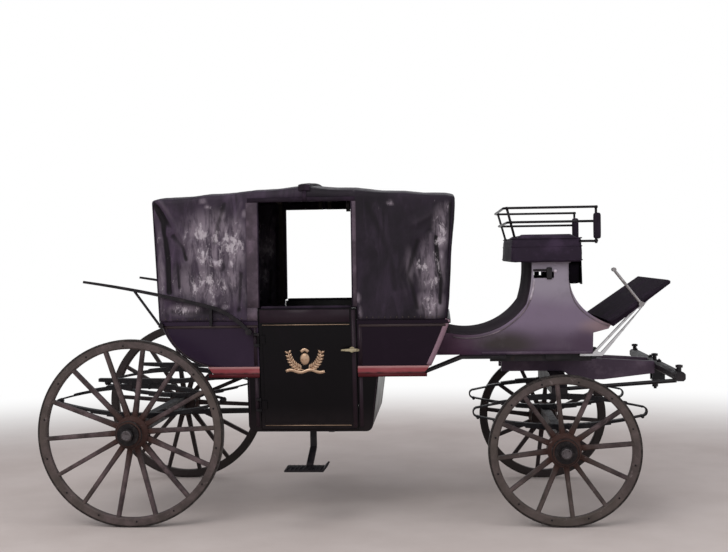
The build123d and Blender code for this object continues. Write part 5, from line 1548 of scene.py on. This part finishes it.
class CARRIAGE_OT_driver_seat(bpy.types.Operator):
    """The driver's seat: leather skirt, cushion, fall, rails and arm pads"""

    bl_idname = "carriage.driver_seat"
    bl_label = "Driver's Seat"

    def execute(self, context):
        low_x, high_x, half = st(2.290), st(2.702), 0.500
        low_z, high_z = 1.543, 1.690

        def flare(place):
            """The skirt's sides spread towards its foot and ripple."""
            down = (high_z - place.z) / (high_z - low_z)
            ripple = 0.0022 * noise.noise(place * 14.0) + 0.001 * noise.noise(place * 40.0)
            x_way = -1 if place.x < (low_x + high_x) / 2 else 1
            y_way = -1 if place.y < 0 else 1
            moved = place.copy()
            if abs(place.x - (low_x if x_way < 0 else high_x)) < 0.012:
                moved.x += x_way * (ripple + 0.010 * down * (1 if x_way < 0 else 0.3))
            if abs(abs(place.y) - half) < 0.012:
                moved.y += y_way * (ripple + 0.004 * down)
            if down > 0.98:
                moved.z += 0.003 * math.sin(place.x * 40) * 0.5
            return moved

        low, high = (low_x, -half, low_z), (high_x, half, high_z - 0.004)
        skirt = round_box("seat_skirt", low, high, 0.010, "seat leather", cuts=0.02, shape=flare)
        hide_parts("driver_seat_box")
        on(skirt, BODY)
        welts, bead = [], section_ring(8, 0.0028, 0.0036)
        for z in (high_z - 0.003, high_z - 0.052, low_z + 0.012):
            down = (high_z - z) / (high_z - low_z)
            back, front = low_x - 0.010 * down + 0.001, high_x + 0.003 * down - 0.001
            wide = half + 0.004 * down
            loop = [(back, -wide, z), (front, -wide, z), (front, wide, z), (back, wide, z)]
            path = divided(loop + loop[:1], 12)[:-1]
            welts.append(run_along("welt", path, (0, 0, 1), bead, "black trim leather", closed=True))
        fit("seat_welts", welts, "seat leather", BODY)
        inset = 0.018
        low = (low_x + inset, inset - half, high_z - 0.012)
        high = (high_x - inset, half - inset, high_z + 0.016)
        cushion = round_box("driver_cushion_pad", low, high, 0.02, "seat leather", cuts=0.05)
        cushion = refine(inflate(cushion, 0.012, 4.0, 0.014), "seat leather")
        hold(cushion, low, high, (0.004, 0.004, 0.0), (0.004, 0.004, 0.006))
        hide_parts("driver_cushion")
        on(cushion, BODY)
        self.fall(high_x)
        self.rails(low_x, half, high_z)
        self.arm_pads()
        return {"FINISHED"}

    def fall(self, high_x):
        """The leather curtain that hangs in front of the seat's neck."""
        points, faces, tall, wide = [], [], 12, 46
        for k in range(tall + 1):
            z = 1.545 - 0.137 * k / tall
            for j in range(wide + 1):
                y = -0.460 + 0.920 * j / wide
                drape = 0.004 * math.sin(y * 36.0 + 0.8 * math.sin(y * 11.0)) * (k / tall) ** 0.7
                x = high_x - 0.001 + drape + 0.003 * k / tall
                points.append((x, y, z + 0.004 * noise.noise(Vector((y * 5, 3, 1))) * k / tall))
        for k in range(tall):
            for j in range(wide):
                a = k * (wide + 1) + j
                faces.append((a, a + 1, a + wide + 2, a + wide + 1))
        sheet = lined(solid("seat_fall_leather", points, faces, "fall leather"), 0.004)
        low, high = (st(2.626), -0.458, 1.410), (high_x - 0.010, 0.458, 1.541)
        on(round_box("fall_apron", low, high, 0.010, "fall leather", cuts=0.03), BODY)
        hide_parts("seat_fall")
        on(sheet, BODY)

    def rails(self, low_x, half, seat_z):
        """Two bent iron rails on raked posts, with collars where they meet."""
        top_z, mid_z, rail_half = seat_z + 0.180, seat_z + 0.095, half + 0.048
        front_x, bend, bar = st(2.782), 0.055, section_ring(12, 0.0075, 0.0075)
        turns = [math.pi / 2 * k / 6 for k in range(7)]
        parts = []
        for z in (top_z, mid_z):
            inset = (top_z - z) * 0.28
            y, middle = rail_half - inset / 2, low_x - 0.054 + inset + bend
            path = [(front_x, -y), (middle, -y)]
            path += [(middle - bend * math.sin(a), -y + bend - bend * math.cos(a)) for a in turns[1:]]
            path += [(middle - bend * math.cos(a), y - bend + bend * math.sin(a)) for a in turns]
            path += [(front_x, y)]
            parts.append(run_along("rail", [(*spot, z) for spot in path], (0, 0, 1), bar, "rail iron"))
        block = Vector((0.011, 0.011, 0.009))
        for side in (1, -1):
            posts = (
                ((st(2.304), side * 0.486, seat_z), (st(2.256), side * 0.526, top_z), (0.0, 0.53, 1.0)),
                ((front_x, side * 0.542, 1.657), (front_x, side * 0.544, 1.878), (0.05, 0.58, 0.96)),
            )
            for foot, head, collars in posts:
                a, b = Vector(foot), Vector(head)
                parts.append(run_along("post", [a - (b - a) * 0.02, b], (1, 0, 0), bar, "rail iron"))
                for share in collars:
                    spot = a.lerp(b, share)
                    parts.append(round_box("collar", spot - block, spot + block, 0.006, "rail iron", cuts=4))
            hook = ((front_x + 0.006, 0.542, 1.665), (st(2.745), 0.530, 1.667), (st(2.690), 0.503, 1.667))
            hook = [(x, side * y, z) for x, y, z in hook]
            parts.append(run_along("hook", hook, (0, 0, 1), bar, "rail iron"))
        made = gather("seat_rail_iron", parts, "rail iron")
        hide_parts("seat_rails")
        on(made, BODY)

    def arm_pads(self):
        """A padded leather roll on the front post of each side."""
        spans = ((2.7660, 2.8100), (0.5255, 0.5605), (1.679, 1.835))
        for label, side in SIDES:
            pad = side_box(f"{label}_arm_pad", side, *spans, 0.012, "black trim leather", 0.012)
            pad = refine(inflate(pad, 0.005, 3.0, 0.003), "black trim leather")
            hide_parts("arm_pads")
            on(pad, BODY)


class CARRIAGE_OT_boot_trim(bpy.types.Operator):
    """Lines and base strips on the boot, the fittings of its neck, and the footboard's binding"""

    bl_idname = "carriage.boot_trim"
    bl_label = "Boot and Footboard Trim"

    def execute(self, context):
        radius = context.scene.carriage_sizes.bead_radius * 0.7
        bead = section_ring(8, radius, radius, flat_back=True)
        base = strip_section(0.009, 0.004, 0.001, 0.002)
        saddle = arc((1.924, 1.096), (2.206, 1.127), (2.374, 1.268), 18)
        neck = arc((2.374, 1.268), (2.408, 1.360), (2.421, 1.440), 8)
        toe_back = arc((2.636, 1.440), (2.655, 1.316), (2.730, 1.224), 12)
        toe = arc((2.730, 1.224), (2.790, 1.185), (2.862, 1.152), 8)
        bolt_outline = ((0.0, 0.0), (0.011, 0.0), (0.011, 0.005), (0.007, 0.009), (0.0, 0.010))
        lines, bases, pulls, bolts = [], [], [], []
        for side in (1, -1):

            def line(name, points, section, material, side=side):
                path = [(st(station), side * 0.4502, z) for station, z in points]
                return run_along(name, path, (0, side, 0), section, material)

            lines.append(line("line", saddle + neck[1:3], bead, "boot lining"))
            lines.append(line("line", toe_back + toe[1:], resized(bead, 0.7, 0.7), "boot lining"))
            bases.append(line("base", ((2.10, 0.993), (2.762, 0.993)), base, "futchell paint"))
            spans = ((2.414, 2.520), (0.446, 0.4575), (1.4885, 1.5015))
            pulls.append(side_box("bar", side, *spans, 0.004, "gear paint", 0.01))
            spans = ((2.494, 2.528), (0.446, 0.461), (1.438, 1.512))
            pulls.append(side_box("block", side, *spans, 0.006, "gear paint", 0.01))
            # The bolt and the neck's line share the lighter lining colour, a painted highlight on the lining.
            bolt = lathe("bolt", bolt_outline, "neck lining", 16)
            bolt.data.transform(Matrix.Translation((st(2.548), side * 0.4495, 1.488)) @ side_turn(side))
            bolts.append(bolt)
            bolts.append(line("line", neck[2:], resized(bead, 1.5, 1.3), "neck lining"))
        fit("boot_lines", lines, "boot lining", BODY)
        fit("boot_base_strips", bases, "futchell paint", BODY)
        fit("neck_pulls", pulls, "gear paint", BODY)
        fit("neck_bolts", bolts, "neck lining", BODY)
        self.binding()
        return {"FINISHED"}

    def binding(self):
        """The rolled leather edge on the footboard's sides and top."""
        low, high, half = Vector((st(2.870), 0, 1.172)), Vector((st(3.220), 0, 1.408)), Vector((0, 0.520, 0))
        up = Vector((low.z - high.z, 0, high.x - low.x)).normalized()
        end = high - Vector((0.004, 0, 0))
        path = [spot + up * 0.010 for spot in divided([low - half, end - half, end + half, low + half], 10)]
        ring = section_ring(10, 0.007, 0.010)
        on(run_along("footboard_binding", path, up, ring, "black trim leather"), BODY)


class CARRIAGE_OT_wheel_fittings(bpy.types.Operator):
    """Nave hoops, felloe bolts and the faces of the hub caps"""

    bl_idname = "carriage.wheel_fittings"
    bl_label = "Wheel Fittings"

    def execute(self, context):
        hoop_outlines = (
            ((0.0765, 0.040), (0.0800, 0.041), (0.0800, 0.055), (0.0765, 0.056)),
            ((0.0815, -0.131), (0.0860, -0.131), (0.0880, -0.108), (0.0835, -0.106)),
        )
        face_outline = (
            (0.0, 0.1045), (0.018, 0.1050), (0.021, 0.1078), (0.025, 0.1078),
            (0.028, 0.1045), (0.030, 0.1040), (0.0, 0.1040),
        )
        for wheel, (_, _, _, radius, count) in WHEELS.items():
            body = f"{wheel}_wheel_body"
            hoops = [to_wheel(lathe("hoop", outline, "nave iron", 64), wheel) for outline in hoop_outlines]
            fit(f"{wheel}_nave_hoops", hoops, "nave iron", body, smooth=False)
            bolts = studs_round("bolts", radius - 0.034, count, "nave iron", 0.0062)
            turn = Matrix.Rotation(math.pi / count + math.radians(3.5), 4, "Z")
            bolts.data.transform(turn @ Matrix.Translation((0, 0, 0.0232)))
            nails = studs_round("nails", 0.055, 6, "cap face", 0.0042)
            nails.data.transform(Matrix.Translation((0, 0, 0.0705)))
            studs = [to_wheel(bolts, wheel), to_wheel(nails, wheel)]
            fit(f"{wheel}_bolts", studs, "nave iron", body)
            made = to_wheel(lathe("face", face_outline, "cap face", 40), wheel)
            made.name = f"{wheel}_cap_face"
            on(made, body)
        return {"FINISHED"}


class CARRIAGE_OT_ironwork(bpy.types.Operator):
    """Spring eyes and clips, step treads and the splinter bar's nuts"""

    bl_idname = "carriage.ironwork"
    bl_label = "Clips, Bolts and Treads"

    def execute(self, context):
        self.spring_fittings("rear", BODY, REAR_X, 0.500, 0.723, 0.511, 0.0165, 0.0)
        self.spring_fittings("front", "fore_carriage", FRONT_X, 0.450, 0.636, 0.494, 0.010, 0.032)
        tread = tree_named("Row of ribs", rib_tree)
        for label, side in SIDES:
            values = {
                "Count": 9,
                "Start": Vector((st(0.945), side * 0.750, 0.3535)),
                "Step": Vector((0.0245, 0.0, 0.0)),
                "Size": Vector((0.005, 0.150, 0.004)),
                "Finish": finish("gear iron"),
            }
            ribs = grow(f"{label}_step_tread", tread, values)
            cover(ribs.data, "gear iron")
            on(ribs, BODY)
        outline = ((0.0, 0.0), (0.014, 0.0), (0.014, 0.010), (0.007, 0.012), (0.007, 0.018), (0.0, 0.019))
        nuts = []
        for y in (-0.700, -0.150, 0.150, 0.700):
            nut = lathe("nut", outline, "gear iron", 6)
            nut.data.transform(Matrix.Translation((st(3.219), y, 0.9035)))
            nuts.append(nut)
        fit("splinter_bar_nuts", nuts, "gear iron", "fore_carriage", smooth=False)
        return {"FINISHED"}

    def spring_fittings(self, end_name, body, x, y, eye_z, reach, eye, drop):
        """The eyes at the springs' ends, and the clips round their leaves."""
        outline = (
            (0.0, -0.032), (0.008, -0.032), (0.008, -0.026), (eye, -0.025),
            (eye, 0.025), (0.008, 0.026), (0.008, 0.032), (0.0, 0.032),
        )
        turn = Matrix.Rotation(math.pi / 2, 4, "X")
        half, down, up = Vector((0.007, 0.027, 0)), Vector((0, 0, 0.020)), Vector((0, 0, 0.018))
        parts = []
        for side in (1, -1):
            for end in (-1, 1):
                made = lathe("eye", outline, "gear iron", 20)
                made.data.transform(Matrix.Translation((x + end * reach, side * y, eye_z - drop)) @ turn)
                parts.append(made)
            for way in (-1, 1):
                for offset in (-0.055, 0.055):
                    spot = Vector((x + offset, side * y, eye_z + way * 0.091))
                    low, high = spot - half - down, spot + half + up
                    parts.append(round_box("clip", low, high, 0.004, "gear iron", cuts=4))
        fit(f"{end_name}_spring_fittings", parts, "gear iron", body)


class CARRIAGE_OT_stage(bpy.types.Operator):
    """Pale floor, soft studio light and the camera"""

    bl_idname = "carriage.stage"
    bl_label = "Floor, Light and Camera"

    def execute(self, context):
        scene = context.scene
        scene.view_settings.view_transform = "Standard"
        self.floor()
        self.world(scene)
        for name, spot, aim, size, power, colour in LAMPS:
            data = bpy.data.lights.new(name, "AREA")
            data.size, data.energy, data.color = size, power, colour
            lamp = bpy.data.objects.new(name, data)
            lamp.location = spot
            lamp.rotation_euler = (Vector(aim) - Vector(spot)).to_track_quat("-Z", "Y").to_euler()
            scene.collection.objects.link(lamp)
        self.camera(scene)
        return {"FINISHED"}

    def floor(self):
        """A dull floor that runs into plain white far from the carriage."""
        f = Finish("studio floor")
        far = f.span(f.distance((0, 0, 0), scale=(0.8, 1, 1)), 2.6, 6.5)
        path = f.node("ShaderNodeLightPath")
        seen = f.maths("MAXIMUM", path.outputs["Is Camera Ray"], path.outputs["Is Glossy Ray"])
        seen = f.maths("MAXIMUM", seen, path.outputs["Is Transmission Ray"])
        grain = f.span(f.noise(1.4, 5.0, 0.6), 0.3, 0.7)
        dull = f.node("ShaderNodeBsdfDiffuse")
        f.feed(dull.inputs["Color"], f.mix(grain, (0.60, 0.525, 0.495), (0.66, 0.585, 0.555)))
        glow = f.node("ShaderNodeEmission")
        glow.inputs["Color"].default_value = (1, 1, 1, 1)
        blend = f.node("ShaderNodeMixShader")
        f.feed(blend.inputs[0], f.times(far, seen))
        f.feed(blend.inputs[1], dull.outputs[0])
        f.feed(blend.inputs[2], glow.outputs[0])
        out = f.node("ShaderNodeOutputMaterial")
        f.feed(out.inputs["Surface"], blend.outputs[0])
        corners = [(-60, -60, 0), (60, -60, 0), (60, 60, 0), (-60, 60, 0)]
        solid("studio_floor", corners, [(0, 1, 2, 3)], "studio floor", smooth=False)

    def world(self, scene):
        """Soft grey light all round that the camera sees as plain white."""
        world = bpy.data.worlds.new("studio")
        scene.world = world
        world.use_nodes = True
        tree = world.node_tree
        tree.nodes.clear()
        path, either = tree.nodes.new("ShaderNodeLightPath"), tree.nodes.new("ShaderNodeMath")
        blend, out = tree.nodes.new("ShaderNodeMixShader"), tree.nodes.new("ShaderNodeOutputWorld")
        either.operation = "MAXIMUM"
        tree.links.new(path.outputs["Is Camera Ray"], either.inputs[0])
        tree.links.new(path.outputs["Is Transmission Ray"], either.inputs[1])
        tree.links.new(either.outputs[0], blend.inputs[0])
        for index, (colour, strength) in enumerate((((0.93, 0.95, 1.0, 1), 0.40), ((1, 1, 1, 1), 1.0))):
            light = tree.nodes.new("ShaderNodeBackground")
            light.inputs["Color"].default_value = colour
            light.inputs["Strength"].default_value = strength
            tree.links.new(light.outputs[0], blend.inputs[index + 1])
        tree.links.new(blend.outputs[0], out.inputs[0])

    def camera(self, scene):
        """The photograph's own view, turned by its yaw, pitch and roll."""
        yaw, pitch, roll = -0.0686, -0.0195, -0.0147
        ahead = Vector((math.sin(yaw) * math.cos(pitch), math.cos(yaw) * math.cos(pitch), math.sin(pitch)))
        right = Vector((math.cos(yaw), -math.sin(yaw), 0.0))
        up = right.cross(ahead)
        right_rolled = right * math.cos(roll) + up * math.sin(roll)
        up_rolled = up * math.cos(roll) - right * math.sin(roll)
        data = bpy.data.cameras.new("camera")
        data.lens, data.sensor_width, data.sensor_fit = 55.56, 36.0, "HORIZONTAL"
        camera = bpy.data.objects.new("camera", data)
        scene.collection.objects.link(camera)
        turn = Matrix((right_rolled, up_rolled, -ahead)).transposed().to_4x4()
        camera.matrix_world = Matrix.Translation((0.5006, -7.3174, 1.6077)) @ turn
        scene.camera = camera


class CARRIAGE_PT_panel(bpy.types.Panel):
    """Lists the carriage's groups of pieces"""

    bl_idname = "CARRIAGE_PT_panel"
    bl_label = "Carriage"
    bl_space_type = "VIEW_3D"
    bl_region_type = "UI"
    bl_category = "Carriage"

    def draw(self, context):
        for operator in OPERATORS:
            self.layout.operator(operator.bl_idname)
        for group in (context.scene.carriage_sizes, context.scene.carriage_colours):
            for key in group.__annotations__:
                self.layout.prop(group, key)


OPERATORS = (
    CARRIAGE_OT_finishes,
    CARRIAGE_OT_stage,
    CARRIAGE_OT_heads,
    CARRIAGE_OT_head_trim,
    CARRIAGE_OT_mouldings,
    CARRIAGE_OT_cabin_trim,
    CARRIAGE_OT_driver_seat,
    CARRIAGE_OT_boot_trim,
    CARRIAGE_OT_wheel_fittings,
    CARRIAGE_OT_ironwork,
)
CLASSES = (CarriageSizes, CarriageColours, *OPERATORS, CARRIAGE_PT_panel)


def register():
    for kind in CLASSES:
        bpy.utils.register_class(kind)
    bpy.types.Scene.carriage_sizes = PointerProperty(type=CarriageSizes)
    bpy.types.Scene.carriage_colours = PointerProperty(type=CarriageColours)


def unregister():
    del bpy.types.Scene.carriage_colours
    del bpy.types.Scene.carriage_sizes
    for kind in reversed(CLASSES):
        bpy.utils.unregister_class(kind)


def main():
    register()
    bpy.ops.carriage.finishes()
    bpy.ops.carriage.stage()
    bpy.ops.carriage.heads()
    bpy.ops.carriage.head_trim()
    bpy.ops.carriage.mouldings()
    bpy.ops.carriage.cabin_trim()
    bpy.ops.carriage.driver_seat()
    bpy.ops.carriage.boot_trim()
    bpy.ops.carriage.wheel_fittings()
    bpy.ops.carriage.ironwork()


if __name__ == "__main__":
    main()
